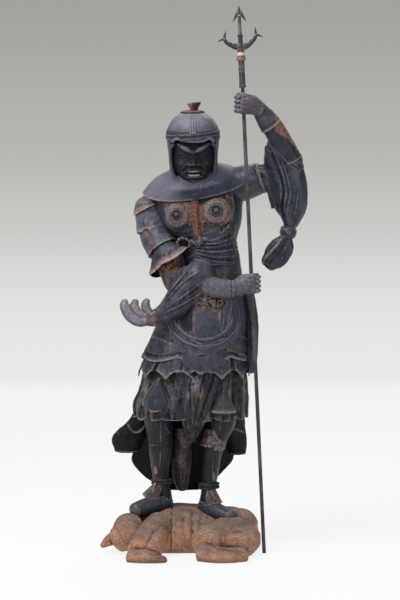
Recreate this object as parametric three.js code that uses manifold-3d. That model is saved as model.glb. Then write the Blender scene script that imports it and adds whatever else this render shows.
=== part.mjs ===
// A carved guardian king (lokapala) on a crouching demon, holding a trident staff with both hands.
// Millimetres, +Z up, the figure faces -Y and its left hand is at +X. The floor is z = 0.
import * as THREE from "three";
import { mergeVertices } from "three/addons/utils/BufferGeometryUtils.js";
import Module from "manifold-3d";

const wasm = await Module();
wasm.setup();

// Driving sizes
const FIGURE_HEIGHT = 980; // soles to helmet crown
const DEMON_LENGTH = 355; // head to rump
const SHAFT_DIAMETER = 9;
const SHAFT_REACH = 132; // from the middle of the upper fist to the shaft's top
const SLEEVE_LENGTH = 62; // the dressed sleeve below the trident
const SLEEVE_WALL = 2.5;
const BEAD_HEIGHT = 23;
const BEAD_WALL = 6.7;
const TRIDENT_HEIGHT = 107; // socket foot to the tip of the middle prong
const TRIDENT_SPAN = 109; // between the outer barbs
const SOCKET_WALL = 5.2;
const SOCKET_DEPTH = 7; // how far the shaft goes up into the trident
const FINIAL_DIAMETER = 56; // the petalled plate on the helmet
const CLEARANCE = 0.3; // between pieces that touch

// The free forms are shares of their own height or length: the figure's rows are hundredths of its height,
// above its soles, and the demon's rows are 36ths of its length, above the floor.
const FIGURE_UNIT = FIGURE_HEIGHT / 100;
const DEMON_UNIT = DEMON_LENGTH / 36;
const SOLE_LEVEL = 9.8 * DEMON_UNIT; // where the demon's back carries the soles
const NECK = [2.4, -0.5, 82]; // where the head turns, in figure shares
const HEAD_BOW = 9; // degrees
const HEAD_LEAN = -1;
const COLLAR_MIDDLE = [2.7, -0.9, 81.9]; // middle of the shoulder cape, in figure shares
const COLLAR_DIP = 28; // degrees that its front hangs lower
const COLLAR_RISE = -9; // degrees that its end over the raised arm lifts
const CROWN_LEVEL = 99; // the flat top of the helmet, in figure shares
const SMOOTHING = 0.1; // how far a carved form may give way to lose a sliver, in shares
const WELD = 0.03; // millimetres within which corners count as one
const BLUNT = 0.01; // an end that bulges less than this needs no ring of its own

// Where the staff runs through the two fists, in figure shares.
const GRIP_LOW = [16.4, -9.2, 56.6];
const GRIP_HIGH = [14.3, -9.7, 100.4];

const SHAFT_RADIUS = SHAFT_DIAMETER / 2;
const BORE_RADIUS = SHAFT_RADIUS + CLEARANCE;

const UP = new THREE.Vector3(0, 0, 1);
const DOWN = new THREE.Vector3(0, 0, -1);
const BACK = new THREE.Vector3(0, 1, 0);

// A frame has the size of one share and the matrix that places it. Each body part is drawn in one of these.
const FIGURE = { unit: FIGURE_UNIT, matrix: new THREE.Matrix4().makeTranslation(0, 0, SOLE_LEVEL) };
const DEMON = { unit: DEMON_UNIT, matrix: new THREE.Matrix4() };
const HEAD = { unit: FIGURE_UNIT, matrix: tilted(NECK, HEAD_BOW, HEAD_LEAN).multiply(moved(NECK, -1)) };
const COLLAR = { unit: FIGURE_UNIT, matrix: tilted(COLLAR_MIDDLE, COLLAR_DIP, COLLAR_RISE) };
const STAFF = { unit: 1, matrix: staffMatrix() };

// The staff's levels, up the shaft from its foot.
const STAFF_FOOT = new THREE.Vector3().setFromMatrixPosition(STAFF.matrix);
const SHAFT_LENGTH = inFigure(GRIP_HIGH).distanceTo(STAFF_FOOT) + SHAFT_REACH;
const SOCKET_FOOT = SHAFT_LENGTH - SOCKET_DEPTH;
const BEAD_FOOT = SOCKET_FOOT - CLEARANCE - BEAD_HEIGHT;
const SLEEVE_FOOT = BEAD_FOOT - CLEARANCE - SLEEVE_LENGTH;

// The trident's own frame: hundredths of its height, up the staff from its socket's foot.
const TRIDENT = {
  unit: TRIDENT_HEIGHT / 100,
  matrix: STAFF.matrix.clone().multiply(new THREE.Matrix4().makeTranslation(0, 0, SOCKET_FOOT)),
};

// A point of the figure, given in its shares.
function inFigure(point) {
  return new THREE.Vector3(...point).multiplyScalar(FIGURE_UNIT).applyMatrix4(FIGURE.matrix);
}

function moved(point, sign = 1) {
  return new THREE.Matrix4().makeTranslation(new THREE.Vector3(...point).multiplyScalar(sign * FIGURE_UNIT));
}

// The figure's frame moved to a point, its front dipped and its left side lowered, in degrees.
function tilted(point, dip, lower) {
  return FIGURE.matrix.clone()
    .multiply(moved(point))
    .multiply(new THREE.Matrix4().makeRotationX(THREE.MathUtils.degToRad(dip)))
    .multiply(new THREE.Matrix4().makeRotationY(THREE.MathUtils.degToRad(lower)));
}

// The staff's frame: z runs up the shaft from its foot on the floor, through both grips.
function staffMatrix() {
  const low = inFigure(GRIP_LOW);
  const up = inFigure(GRIP_HIGH).sub(low).normalize();
  const footRise = SHAFT_RADIUS * Math.hypot(up.x, up.y); // the tilted foot just touches the floor
  const foot = low.addScaledVector(up, (footRise - low.z) / up.z);
  const lean = new THREE.Quaternion().setFromUnitVectors(UP, up);
  return new THREE.Matrix4().makeRotationFromQuaternion(lean).setPosition(foot);
}

// A closed geometry as a solid, whichever way its faces point.
function solid(geometry) {
  const bare = geometry.index ? geometry.toNonIndexed() : geometry.clone();
  for (const name of Object.keys(bare.attributes)) if (name !== "position") bare.deleteAttribute(name);
  const merged = mergeVertices(bare, 1e-4);
  const triVerts = new Uint32Array(merged.index.array);
  const vertProperties = merged.attributes.position.array;
  if (signedVolume(vertProperties, triVerts) < 0)
    for (let i = 0; i < triVerts.length; i += 3)
      [triVerts[i + 1], triVerts[i + 2]] = [triVerts[i + 2], triVerts[i + 1]];
  return new wasm.Manifold(new wasm.Mesh({ numProp: 3, vertProperties, triVerts }));
}

function signedVolume(points, triangles) {
  const corner = (k) => new THREE.Vector3().fromArray(points, 3 * triangles[k]);
  let sum = 0;
  for (let i = 0; i < triangles.length; i += 3) sum += corner(i).dot(corner(i + 1).cross(corner(i + 2)));
  return sum;
}

const joined = (solids) => wasm.Manifold.union(solids.flat(3));

// The solids joined into one body, without the slivers that carved forms leave where they meet.
function carved(frame, solids, smoothing = SMOOTHING) {
  const bodies = joined(solids).asOriginal().simplify(smoothing * frame.unit).decompose();
  return bodies.reduce((largest, body) => (body.volume() > largest.volume() ? body : largest));
}

// A closed body: an oval section carried along a smooth line. Each row is [x, y, z, across, deep]: a point
// of the line and the section's half-widths in the front view and in depth. The body is the skin of a
// sphere, drawn out along the line.
//   ends   how far each end bulges, as a share of its half-width (0 is flat, below 0 is hollow)
//   swell  (angle, along) => a factor on the section, for folds
//   hem    angle => how far the far end reaches on, in shares
//   level  the sections stay level, for a body that stands or hangs
//   facing the sections face the viewer, for a body that stands out towards the viewer
//   grow   added all round, in millimetres
function limb(frame, rows, options = {}) {
  const { sides = 10, steps = 1, ends = [0, 0], swell, hem } = options;
  const { level = false, facing = false, grow = 0 } = options;
  const unit = frame.unit;
  const smooth = (points) => new THREE.CatmullRomCurve3(points, false, "catmullrom", 0.5);
  const line = smooth(rows.map(([x, y, z]) => new THREE.Vector3(x, y, z).multiplyScalar(unit)));
  const girth = smooth(rows.map(([, , , a, b]) => new THREE.Vector3(a * unit + grow, b * unit + grow, 0)));
  const rings = ringPlaces((rows.length - 1) * steps, ends);
  const geometry = new THREE.SphereGeometry(1, sides, rings.length - 1);
  const place = geometry.attributes.position;
  for (let i = 0; i < place.count; i++) {
    const ring = rings[Math.floor(i / (sides + 1))];
    const angle = (2 * Math.PI * (i % (sides + 1))) / sides;
    const tangent = level ? DOWN : line.getTangent(THREE.MathUtils.clamp(ring.along, 0.001, 0.999));
    const reference = facing ? UP : BACK;
    const deep = reference.clone().addScaledVector(tangent, -reference.dot(tangent)).normalize();
    const across = new THREE.Vector3().crossVectors(tangent, deep);
    const size = girth.getPoint(ring.along);
    const factor = ring.scale * (swell ? swell(angle, ring.along) : 1);
    const reach = hem ? hem(angle) * unit * ring.scale * Math.max(0, 2 * ring.along - 1) ** 2 : 0;
    const point = line.getPoint(ring.along)
      .addScaledVector(across, size.x * factor * Math.cos(angle))
      .addScaledVector(deep, size.y * factor * Math.sin(angle))
      .addScaledVector(tangent, (ring.push * (size.x + size.y)) / 2 + reach + Math.sign(ring.push) * grow);
    place.setXYZ(i, point.x, point.y, point.z);
  }
  return solid(geometry.applyMatrix4(frame.matrix));
}

// The rings of a limb: where along the line, how wide, and how far pushed past the end.
function ringPlaces(segments, [first, last]) {
  const rings = [{ along: 0, scale: 0, push: -first }];
  if (first > BLUNT) rings.push({ along: 0, scale: Math.SQRT1_2, push: -first * Math.SQRT1_2 });
  for (let k = 0; k <= segments; k++) rings.push({ along: k / segments, scale: 1, push: 0 });
  if (last > BLUNT) rings.push({ along: 1, scale: Math.SQRT1_2, push: last * Math.SQRT1_2 });
  rings.push({ along: 1, scale: 0, push: last });
  return rings;
}

// The depth of a level body's front, at a place across and up. The rows are the ones that limb() takes.
function frontOf(rows, x, z) {
  const below = rows.findIndex((row, k) => k > 0 && z >= row[2]);
  const [upper, lower] = [rows[below - 1], rows[below]];
  const share = (upper[2] - z) / (upper[2] - lower[2]);
  const mix = upper.map((value, k) => THREE.MathUtils.lerp(value, lower[k], share));
  const [middle, depth, , across, deep] = mix;
  return depth - deep * Math.sqrt(Math.max(0, 1 - ((x - middle) / across) ** 2));
}

// A thin raised line, such as a seam, cord or border.
function cord(frame, points, radius, options = {}) {
  const rows = points.map(([x, y, z]) => [x, y, z, radius, radius]);
  return limb(frame, rows, { sides: 5, ...options });
}

// A flat round boss that faces the viewer.
function boss(frame, [x, y, z], radius, thickness, options = {}) {
  const rows = [[x, y - thickness, z, radius * 0.75, radius * 0.75], [x, y + thickness, z, radius, radius]];
  return limb(frame, rows, { sides: 10, facing: true, ...options });
}

// Folds: a factor that swings count times round the section and grows towards the hem.
const flutes = (count, depth, phase = 0) => (angle, along) =>
  1 + depth * (0.3 + 0.7 * along) * Math.cos(count * angle + phase);
// Petals that hang from a hem, count of them all round.
const petals = (count, reach, phase = 0) => (angle) =>
  reach * Math.abs(Math.cos((count * angle) / 2 + phase));
const both = (make) => [-1, 1].map(make);
// Angles from 0 to half a turn, in equal parts.
const halfRound = (parts) => Array.from({ length: parts + 1 }, (_, k) => (Math.PI * k) / parts);

function helmet() {
  const dome = limb(HEAD, [
    [2.2, -1.2, CROWN_LEVEL, 2.9, 3.3], [2.2, -1.2, 97.6, 4.9, 5.6], [2.2, -1.2, 95.3, 6.25, 7.1],
    [2.2, -1.2, 92.4, 6.5, 7.4], [2.2, -1.1, 88.5, 6.1, 6.9], [2.2, -0.9, 85, 5.9, 6.6],
    [2.3, -0.7, 82, 5.1, 6.3], [2.3, -0.6, 80, 3.6, 5.6]], { sides: 16, level: true });
  const opening = limb(HEAD, [
    [2.1, -8.4, 92.2, 6.4, 5.5], [2.1, -8.4, 91, 6.8, 6.2], [2.1, -8.4, 87, 6.7, 6.2],
    [2.2, -8.4, 84, 5.9, 5.9], [2.3, -8.4, 81.4, 3.8, 5.2]], { sides: 12, level: true });
  const band = limb(HEAD, [[2.2, -1.2, 93.7, 6.75, 7.6],
    [2.2, -1.2, 92.3, 6.8, 7.7]], { sides: 16, level: true });
  const rim = cord(HEAD, [
    [-2.4, -6.5, 92.1], [-3.3, -4.9, 90.4], [-3.3, -4.6, 87], [-2.6, -4.8, 83.9], [-0.5, -6.1, 81.8],
    [2.2, -6.8, 81], [4.9, -6.1, 81.8], [6.9, -4.9, 83.9], [7.6, -4.6, 87], [7.6, -4.9, 90.4],
    [6.7, -6.5, 92.1]], 0.45);
  const ridge = cord(HEAD, [[2.2, -8.6, 93.4], [2.2, -7.6, 96], [2.2, -5.6, 98]], 0.35);
  return [joined([dome, band]).subtract(opening), rim, ridge];
}

// A fierce face inside the helmet: knitted brows, round eyes, a broad nose and an open mouth with teeth.
function face() {
  const middle = 2.3;
  const head = limb(HEAD, [
    [middle, -3.2, 93, 4.6, 3.6], [middle, -3.3, 90.6, 5.0, 4.2], [middle, -3.4, 87.6, 5.0, 4.3],
    [middle, -3.6, 84.8, 4.3, 4.0],
    [middle, -4.0, 82.6, 2.7, 3.1]], { sides: 14, level: true, ends: [0, 0.35] });
  const brows = both((side) => limb(HEAD, [
    [middle + side * 0.5, -7.6, 90.0, 0.5, 0.6], [middle + side * 2, -7.5, 90.8, 0.7, 0.7],
    [middle + side * 3.7, -6.1, 91.6, 0.4, 0.5]], { sides: 6, ends: [0.5, 0.5] }));
  const eyes = both((side) => limb(HEAD, [
    [middle + side * 1.0, -7.2, 88.8, 0.3, 0.4], [middle + side * 2.0, -7.1, 89.0, 0.6, 0.7],
    [middle + side * 3.0, -6.4, 89.3, 0.3, 0.4]], { sides: 6 }));
  const nose = limb(HEAD, [
    [middle, -7.5, 90, 0.5, 0.5], [middle, -8.2, 88.4, 0.7, 0.8], [middle, -8.5, 87, 1.5, 1.0]],
    { sides: 8, ends: [0, 0.5] });
  const mouth = limb(HEAD, [
    [middle - 2, -7.9, 84.8, 0.4, 1.2], [middle, -8.3, 84.7, 0.95, 1.2], [middle + 2, -7.9, 84.8, 0.4, 1.2]],
    { sides: 6 });
  const teeth = limb(HEAD, [[middle - 1.5, -6.9, 84.7, 0.55, 0.5], [middle + 1.5, -6.9, 84.7, 0.55, 0.5]],
    { sides: 6 });
  return [joined([head, ...brows, ...eyes, nose]).subtract(mouth), teeth];
}

function trunk() {
  const chest = limb(FIGURE, [
    [2.9, 0.9, 84, 5.4, 5.4], [3.0, 0.5, 80, 11.0, 7.0], [3.2, -0.3, 75, 11.1, 7.6],
    [3.7, -0.5, 71, 10.2, 7.3],
    [5.1, -0.5, 67, 7.8, 6.9], [6.2, -0.7, 63, 7.5, 6.9], [6.2, -0.9, 59, 8.0, 7.5],
    [5.8, -0.6, 54.5, 9.2, 8.3]],
    { sides: 16, level: true });
  const collar = limb(COLLAR, [
    [0, 0.6, 2.9, 5.4, 4.6], [0, -0.2, 0.8, 8.8, 6.8], [-0.1, 0, 0, 12.4, 8.1],
    [-0.2, -0.2, -0.8, 13.4, 8.4]],
    { sides: 22, level: true, hem: (angle) => 2.6 * Math.max(0, Math.sin(angle)) });
  const breasts = [[-1.9, 73.0, 3.7], [7.6, 74.2, 4.0]].map(([x, z, size]) => [
    limb(FIGURE, [[x, -8.1, z, size * 0.72, size * 0.7], [x, -5.2, z, size, size]],
      { sides: 10, ends: [0.2, 0], facing: true }),
    boss(FIGURE, [x + 0.1, -8.8, z + 0.5], 1.5, 0.5, { sides: 8 })]);
  const strap = cord(FIGURE, [[2.5, -7.7, 77], [2.8, -7.9, 71], [3.6, -7.4, 66]], 0.85);
  const sash = limb(FIGURE, [66.6, 65.6, 64.4, 63.4, 62.2, 61.2].map((z, k) => {
    const fold = 0.1 * k + 0.3 * (k % 2);
    return [5.9, -0.8, z, 7.1 + fold, 7.2 + fold];
  }), { sides: 16, level: true });
  return [chest, collar, breasts, strap, sash];
}

function skirts() {
  const belt = limb(FIGURE, [[5.8, -0.6, 55.4, 9.4, 8.8],
    [5.7, -0.6, 53.4, 9.6, 9.0]], { sides: 16, level: true });
  const mask = limb(FIGURE, [[5.6, -10.4, 52.2, 2.8, 2.6], [5.6, -9.4, 52.1, 4.0, 3.6],
    [5.6, -8, 52.1, 4.2, 3.8]],
    { sides: 10, facing: true });
  const tassets = limb(FIGURE, [
    [5.6, 0, 55.5, 9.3, 8.3], [5.2, 0, 50.5, 10.7, 9.1], [4.1, 0, 44.6, 12.0, 9.8],
    [2.6, 0, 38.6, 13.5, 10.6]],
    { sides: 24, level: true, hem: petals(6, 1.2, 1) });
  const apronRows = [
    [5.5, -1.6, 54, 9.2, 8.6], [5.2, -1.7, 48.5, 10.2, 9.7], [4.7, -1.8, 44, 9.9, 10.3],
    [4.5, -1.9, 42, 8.6, 10.6], [4.4, -2, 40.6, 7.2, 10.7], [4.3, -2, 39.5, 4.4, 10.8]];
  const apron = limb(FIGURE, apronRows, { sides: 16, level: true });
  const border = [0, 1.9].map((inset) => cord(FIGURE, halfRound(10).map((angle) => {
    const x = 4.6 - (9.4 - inset) * Math.cos(angle);
    const z = 50 - (8.8 - inset) * Math.sin(angle);
    return [x, frontOf(apronRows, x, z) - 0.1, z];
  }), 0.42, { sides: 4 }));
  const lowerApron = limb(FIGURE, [
    [4.2, -1.7, 41, 7.4, 10.5], [4.1, -1.7, 37.6, 7.6, 11.0], [3.8, -1.8, 35.4, 4.6, 11.0]],
    { sides: 12, level: true });
  const petalRow = limb(FIGURE, [[3.0, 0, 39.5, 12.0, 9.7], [2.2, 0, 35.4, 13.9, 10.5]],
    { sides: 36, level: true, hem: (angle) => 2.2 * (1 - Math.abs(Math.sin(6 * angle))) });
  const overSkirt = limb(FIGURE, [
    [2.6, 0.4, 37, 12.3, 9.3], [2.2, 0.6, 31, 13.3, 9.8], [1.4, 0.9, 26.5, 14.2, 10],
    [1.3, 1.2, 23.5, 14.1, 9.8]],
    { sides: 28, level: true, ends: [0, -0.1], swell: flutes(14, 0.035), hem: petals(14, 0.8) });
  const stole = limb(FIGURE, [
    [15.3, -2.4, 56, 1.4, 2.2], [16.4, -2.2, 48, 1.7, 2.4], [16.5, -2, 40, 1.6, 2.2],
    [16.1, -1.8, 34.2, 1.4, 1.8]],
    { sides: 8, level: true });
  return [belt, mask, tassets, apron, border, lowerApron, petalRow, overSkirt, stole];
}

function hangings() {
  const centre = limb(FIGURE, [
    [3.2, -6.4, 35, 6, 3.6], [2.8, -6.8, 29, 5.0, 3.6], [2.2, -6.4, 23, 3.2, 3], [1.6, -5.4, 17.4, 0.9, 1.2]],
    { sides: 12, level: true, swell: flutes(6, 0.08, Math.PI) });
  const thighGuards = [
    limb(FIGURE, [[-6.4, -7.7, 33, 0.6, 1.4], [-6.9, -7.5, 30.4, 1.7, 1.9], [-7.2, -7.3, 27.6, 2.8, 2.1],
      [-7.3, -7, 25.4, 1.4, 1.9]], { sides: 8, level: true }),
    limb(FIGURE, [[9.6, -7.8, 30.2, 0.6, 1.3], [9.6, -7.8, 28, 1.7, 1.9], [9.4, -7.3, 25, 3.3, 2.2]],
      { sides: 8, level: true })];
  const cape = limb(FIGURE, [
    [1.5, 4.2, 27, 12.6, 4.6], [0.8, 5.2, 19, 13.6, 3.8], [-0.5, 5.6, 13.2, 12.9, 3.4],
    [-0.9, 5.6, 11, 12.6, 3.2], [-1.1, 5.6, 8.6, 10.6, 2.8], [-0.9, 5.4, 6.2, 8.0, 2.4],
    [-0.6, 5.2, 3.9, 5.0, 1.8]], { sides: 14, level: true });
  const sideTails = [
    limb(FIGURE, [[-9.6, 2.2, 26, 2.2, 2.8], [-11.4, 3.0, 21.8, 2.9, 2.4], [-13.9, 3.8, 17.6, 4.5, 1.9],
      [-14.8, 4.2, 13.8, 3.1, 1.3]], { sides: 8, level: true, ends: [0, 0.25] }),
    limb(FIGURE, [[11.5, 2.2, 27, 3.0, 2.8], [12, 3.2, 21.5, 3.1, 2.4], [12.7, 3.7, 16.4, 2.9, 1.9],
      [13.3, 4, 13.2, 2.1, 1.4]], { sides: 8, level: true, ends: [0, 0.25] })];
  const backPanel = limb(FIGURE, [
    [-0.4, -0.2, 20, 2.2, 2.2], [-0.8, 0.6, 13, 2.5, 1.8], [-1, 1.6, 7.5, 2.2, 1.6],
    [-0.8, 2.4, 4.4, 1.3, 1.3]],
    { sides: 8, level: true });
  return [centre, thighGuards, cape, sideTails, backPanel];
}

function legs() {
  const right = limb(FIGURE, [
    [-5.4, -1, 30, 4.4, 4.8], [-6.3, -2.4, 23, 4.0, 4.4], [-6.2, -2.6, 18, 3.2, 3.7],
    [-6.1, -2.2, 13, 2.7, 3.2],
    [-6.0, -1.8, 8, 1.95, 2.3], [-5.2, -1.4, 4, 1.8, 2.2], [-5.0, -1.3, 1.6, 1.9, 2.3]]);
  const left = limb(FIGURE, [
    [7.9, -1, 30, 4.6, 4.8], [8.9, -2.4, 23, 4.0, 4.4], [8.2, -2.6, 19, 3.0, 3.7], [7.0, -2.4, 15, 2.5, 3.3],
    [6.4, -2.0, 10, 2.1, 2.7], [6.0, -1.7, 5.6, 1.8, 2.2], [5.3, -1.4, 1, 1.9, 2.3]]);
  const gather = limb(FIGURE, [[7.9, -2.6, 20, 3.0, 3.6], [6.9, -2.6, 15.8, 3.1, 3.9]]);
  const anklets = [[-5.8, 7.7], [6.0, 6.5]].map(([x, z]) =>
    limb(FIGURE, [[x, -1.7, z, 2.4, 2.7], [x, -1.7, z - 0.9, 2.4, 2.7]], { level: true }));
  const flaps = [
    [[-6.2, -3.3, 6.9, 1.0, 0.9], [-8.8, -4.3, 2.9, 2.3, 0.9]],
    [[6.3, -3.4, 5.8, 1.0, 0.9], [7.2, -4.5, 1.6, 2.2, 0.9]],
  ].map((rows) => limb(FIGURE, rows, { sides: 6 }));
  return [right, left, gather, anklets, flaps];
}

// The shoes, which the demon's back is cut to fit.
function shoes(grow = 0) {
  return [
    [[-4.2, -1.0, 2.1, 2.0, 2.0], [-7.0, -2.8, 1.6, 2.2, 2.3], [-10.2, -5.0, 0.9, 2.1, 2.4],
    [-12.3, -6.4, 0.3, 1.9, 2.1]],
    [[4.4, -1.2, 0.6, 2.2, 2.1], [6.6, -3.0, 0, 2.3, 2.4], [9.2, -5.2, -0.7, 2.1, 2.4],
    [11.4, -6.8, -1.2, 1.8, 2.1]],
  ].map((rows) => limb(FIGURE, rows, { ends: [0.3, 0.6], grow }));
}

// The arm on the viewer's left: a tiered guard down to a flared elbow, and a sleeve knotted at its end.
function rightArm() {
  const tiers = [
    limb(FIGURE, [[-8.9, 0.1, 78.4, 1.2, 2.0], [-9.1, 0, 77.1, 2.9, 3.6], [-9.3, -0.1, 75.2, 3.6, 4.6]],
      { sides: 12, level: true, hem: (angle) => -1.9 * Math.cos(angle) }),
    limb(FIGURE, [[-9.1, 0, 76, 3.4, 3.8], [-8.7, -0.3, 73.4, 3.7, 4.0],
      [-8.0, -0.9, 69.6, 4.0, 4.2]], { sides: 12 }),
    limb(FIGURE, [[-8.0, -0.8, 71, 3.5, 3.7], [-7.2, -1.6, 68, 3.9, 4.1],
      [-5.4, -2.7, 65.1, 4.2, 4.6]], { sides: 12 }),
    limb(FIGURE, [[-6.3, -2, 66.6, 3.2, 3.6], [-5.0, -3.3, 64.5, 3.5, 3.8], [-3.6, -4.7, 62.4, 6.4, 5.0]],
      { sides: 16, ends: [0, -0.12],
        hem: (angle) => petals(5, 0.5)(angle) + 2.4 * Math.max(0, -Math.sin(angle)) })];
  const elbow = limb(FIGURE, [[-3.9, -4.6, 62.6, 3.6, 3.4], [-2.3, -6.2, 58.4, 3.4, 3.2],
    [-0.6, -7.2, 55, 3.2, 2.6]]);
  const sleeve = limb(FIGURE, [
    [4.4, -7.4, 61.6, 2.4, 1.9], [3.2, -8.2, 58.6, 4.4, 2.8], [1.2, -8.8, 55.4, 4.6, 3.1],
    [-1.5, -9, 52.2, 3.8, 2.9],
    [-4.3, -8.8, 49.9, 2.7, 2.4], [-7.0, -8.4, 48.5, 1.7, 1.7]],
    { sides: 14, ends: [0.3, 0], swell: flutes(7, 0.08) });
  const knot = limb(FIGURE, [[-6.6, -8.4, 49.5, 1.2, 1.4], [-7.9, -8.4, 48, 1.9, 1.9],
    [-9.2, -8.3, 47.2, 1.2, 1.3]],
    { sides: 8 });
  const lobes = [
    [[-8.6, -8.4, 47.6, 1.2, 1.3], [-11.2, -8.3, 47.4, 1.4, 1.5], [-13.4, -7.9, 48.8, 1.5, 1.5],
      [-14.7, -7.4, 51, 1.3, 1.3], [-14.8, -7, 52.3, 0.8, 0.9]],
    [[-8.8, -8.2, 48.4, 1.0, 1.2], [-11, -8.2, 49.1, 1.1, 1.3], [-12.3, -8, 50.8, 1.2, 1.3],
      [-12.1, -7.8, 52.4, 0.8, 1]],
    [[-8.2, -8.2, 49, 0.9, 1.2], [-9.4, -8.2, 50.4, 1.1, 1.3], [-9.6, -8.1, 51.6, 1.1, 1.2],
      [-9.2, -8, 52.6, 0.7, 0.9]],
  ].map((rows) => limb(FIGURE, rows, { sides: 7, ends: [0, 0.5] }));
  const forearm = limb(FIGURE, [
    [-1, -7.2, 58.6, 2.6, 2.6], [4, -9, 56.7, 2.8, 2.6], [8.2, -9.7, 55.5, 2.5, 2.4],
    [12.4, -9.6, 55.4, 2.1, 2.0]]);
  return [tiers, elbow, sleeve, knot, lobes, forearm, fist(GRIP_LOW, 1)];
}

// The raised arm on the viewer's right, with its long sleeve knotted below the elbow.
function leftArm() {
  const guard = limb(FIGURE, [[11, 0, 80.6, 4.3, 4.8], [15, -0.3, 81.6, 4.4, 4.6],
    [19.2, -0.8, 82.8, 3.8, 4.2]],
    { sides: 12 });
  const underSleeve = limb(FIGURE, [[18.4, -0.8, 82.6, 3.3, 3.5], [21.6, -1.4, 82.8, 3.7, 3.7],
    [25, -2.4, 84, 3.2, 3.4]]);
  const forearm = limb(FIGURE, [
    [19.4, -8, 98, 2.2, 2.2], [21.6, -7, 95, 2.6, 2.5], [23.8, -5.6, 91.2, 2.8, 2.7],
    [25.6, -4.2, 87.6, 3.0, 3.0],
    [26.5, -3.4, 84.6, 3.1, 3]]);
  const bracer = limb(FIGURE, [[18.1, -8.5, 99.3, 1.8, 2.0], [19.8, -7.9, 97.1, 2.4, 2.4],
    [21.2, -7.3, 95.2, 2.8, 2.7]]);
  const sleeve = limb(FIGURE, [
    [22.2, -5, 91.6, 2.0, 2.2], [23.4, -4.2, 88, 4.0, 3.0], [24.7, -3.4, 83.6, 4.8, 3.5],
    [25.6, -3.2, 79, 4.7, 3.4],
    [26.3, -3.1, 75, 3.8, 2.9], [26.3, -3.1, 72.4, 2.4, 2.1], [25.9, -3.1, 70.2, 1.3, 1.4]],
    { sides: 14, ends: [0.4, 0], swell: flutes(7, 0.07) });
  const pleat = limb(FIGURE, [[20.9, -4, 90.4, 1.2, 1.8], [21.5, -3.4, 83, 1.9, 2],
    [22.6, -3.1, 75.2, 1.2, 1.4]],
    { sides: 8, ends: [0.3, 0] });
  const knot = limb(FIGURE, [[24, -3.1, 69.7, 1.1, 1.2], [25.6, -3.2, 69.3, 1.7, 1.9],
    [27.2, -3.1, 68.9, 1.2, 1.3]],
    { sides: 8, ends: [0.3, 0.3] });
  const tail = limb(FIGURE, [
    [25.4, -3.1, 68.4, 1.3, 1.1], [24.3, -3.1, 65.9, 2.9, 1.5], [22.4, -3, 63.1, 3.1, 1.4],
    [20.4, -2.9, 61.1, 1.9, 1.1]],
    { sides: 10, ends: [0, 0.4] });
  return [guard, underSleeve, forearm, bracer, sleeve, pleat, knot, tail, fist(GRIP_HIGH, -1)];
}

// A fist round the staff: the back of the hand before the shaft, four fingers that close behind it, a thumb.
function fist([x, y, z], side) {
  const palm = limb(FIGURE, [
    [x - side * 4.2, y - 0.1, z - 1.3, 1.8, 1.9], [x - side * 1.8, y - 0.2, z - 0.2, 2.5, 2.5],
    [x + side * 0.5, y - 0.2, z, 2.5, 2.3]],
    { ends: [0, 0.15] });
  const fingers = [1.65, 0.55, -0.55, -1.65].map((rise) => limb(FIGURE, [
    [x - side * 0.2, y - 1.2, z + rise, 0.64, 0.9], [x + side * 1.2, y - 0.8, z + rise, 0.64, 0.9],
    [x + side * 1.5, y + 0.5, z + rise, 0.6, 0.8]], { sides: 6, ends: [0, 0.4] }));
  const thumb = limb(FIGURE, [
    [x - side * 1.6, y - 1.4, z + 1.5, 0.7, 0.7], [x + side * 0.2, y - 1.5, z + 2.0, 0.65, 0.7],
    [x + side * 1.3, y - 0.9, z + 2.2, 0.5, 0.6]], { sides: 6, ends: [0, 0.4] });
  return [palm, fingers, thumb];
}

// A turned piece of the staff: a closed profile of [radius, height] spun round its axis.
function turned(profile, segments = 12) {
  const lathe = new THREE.LatheGeometry(profile.map(([r, z]) => new THREE.Vector2(r, z)), segments);
  return solid(lathe.rotateX(Math.PI / 2).applyMatrix4(STAFF.matrix));
}

const shaft = () => turned([[0, 0], [SHAFT_RADIUS, 0], [SHAFT_RADIUS, SHAFT_LENGTH], [0, SHAFT_LENGTH]], 12);

// The room that the shaft needs inside whatever it passes through.
const shaftRoom = (from, to) => turned([[0, from], [BORE_RADIUS, from], [BORE_RADIUS, to], [0, to]], 12);

function dressedSleeve() {
  const r = BORE_RADIUS + SLEEVE_WALL;
  const top = SLEEVE_FOOT + SLEEVE_LENGTH;
  return turned([
    [BORE_RADIUS, SLEEVE_FOOT], [1.15 * r, SLEEVE_FOOT], [1.15 * r, SLEEVE_FOOT + 0.06 * SLEEVE_LENGTH],
    [r, SLEEVE_FOOT + 0.09 * SLEEVE_LENGTH], [r, top], [BORE_RADIUS, top], [BORE_RADIUS, SLEEVE_FOOT]]);
}

// A gilt bead with a round lower swell and a narrower ring above it.
function bead() {
  const at = (share, rise) => [BORE_RADIUS + share * BEAD_WALL, BEAD_FOOT + rise * BEAD_HEIGHT];
  return turned([at(0, 0), at(0.5, 0), at(1, 0.22), at(0.65, 0.42), at(0.75, 0.6), at(0.35, 1), at(0, 1),
    at(0, 0)]);
}

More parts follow.
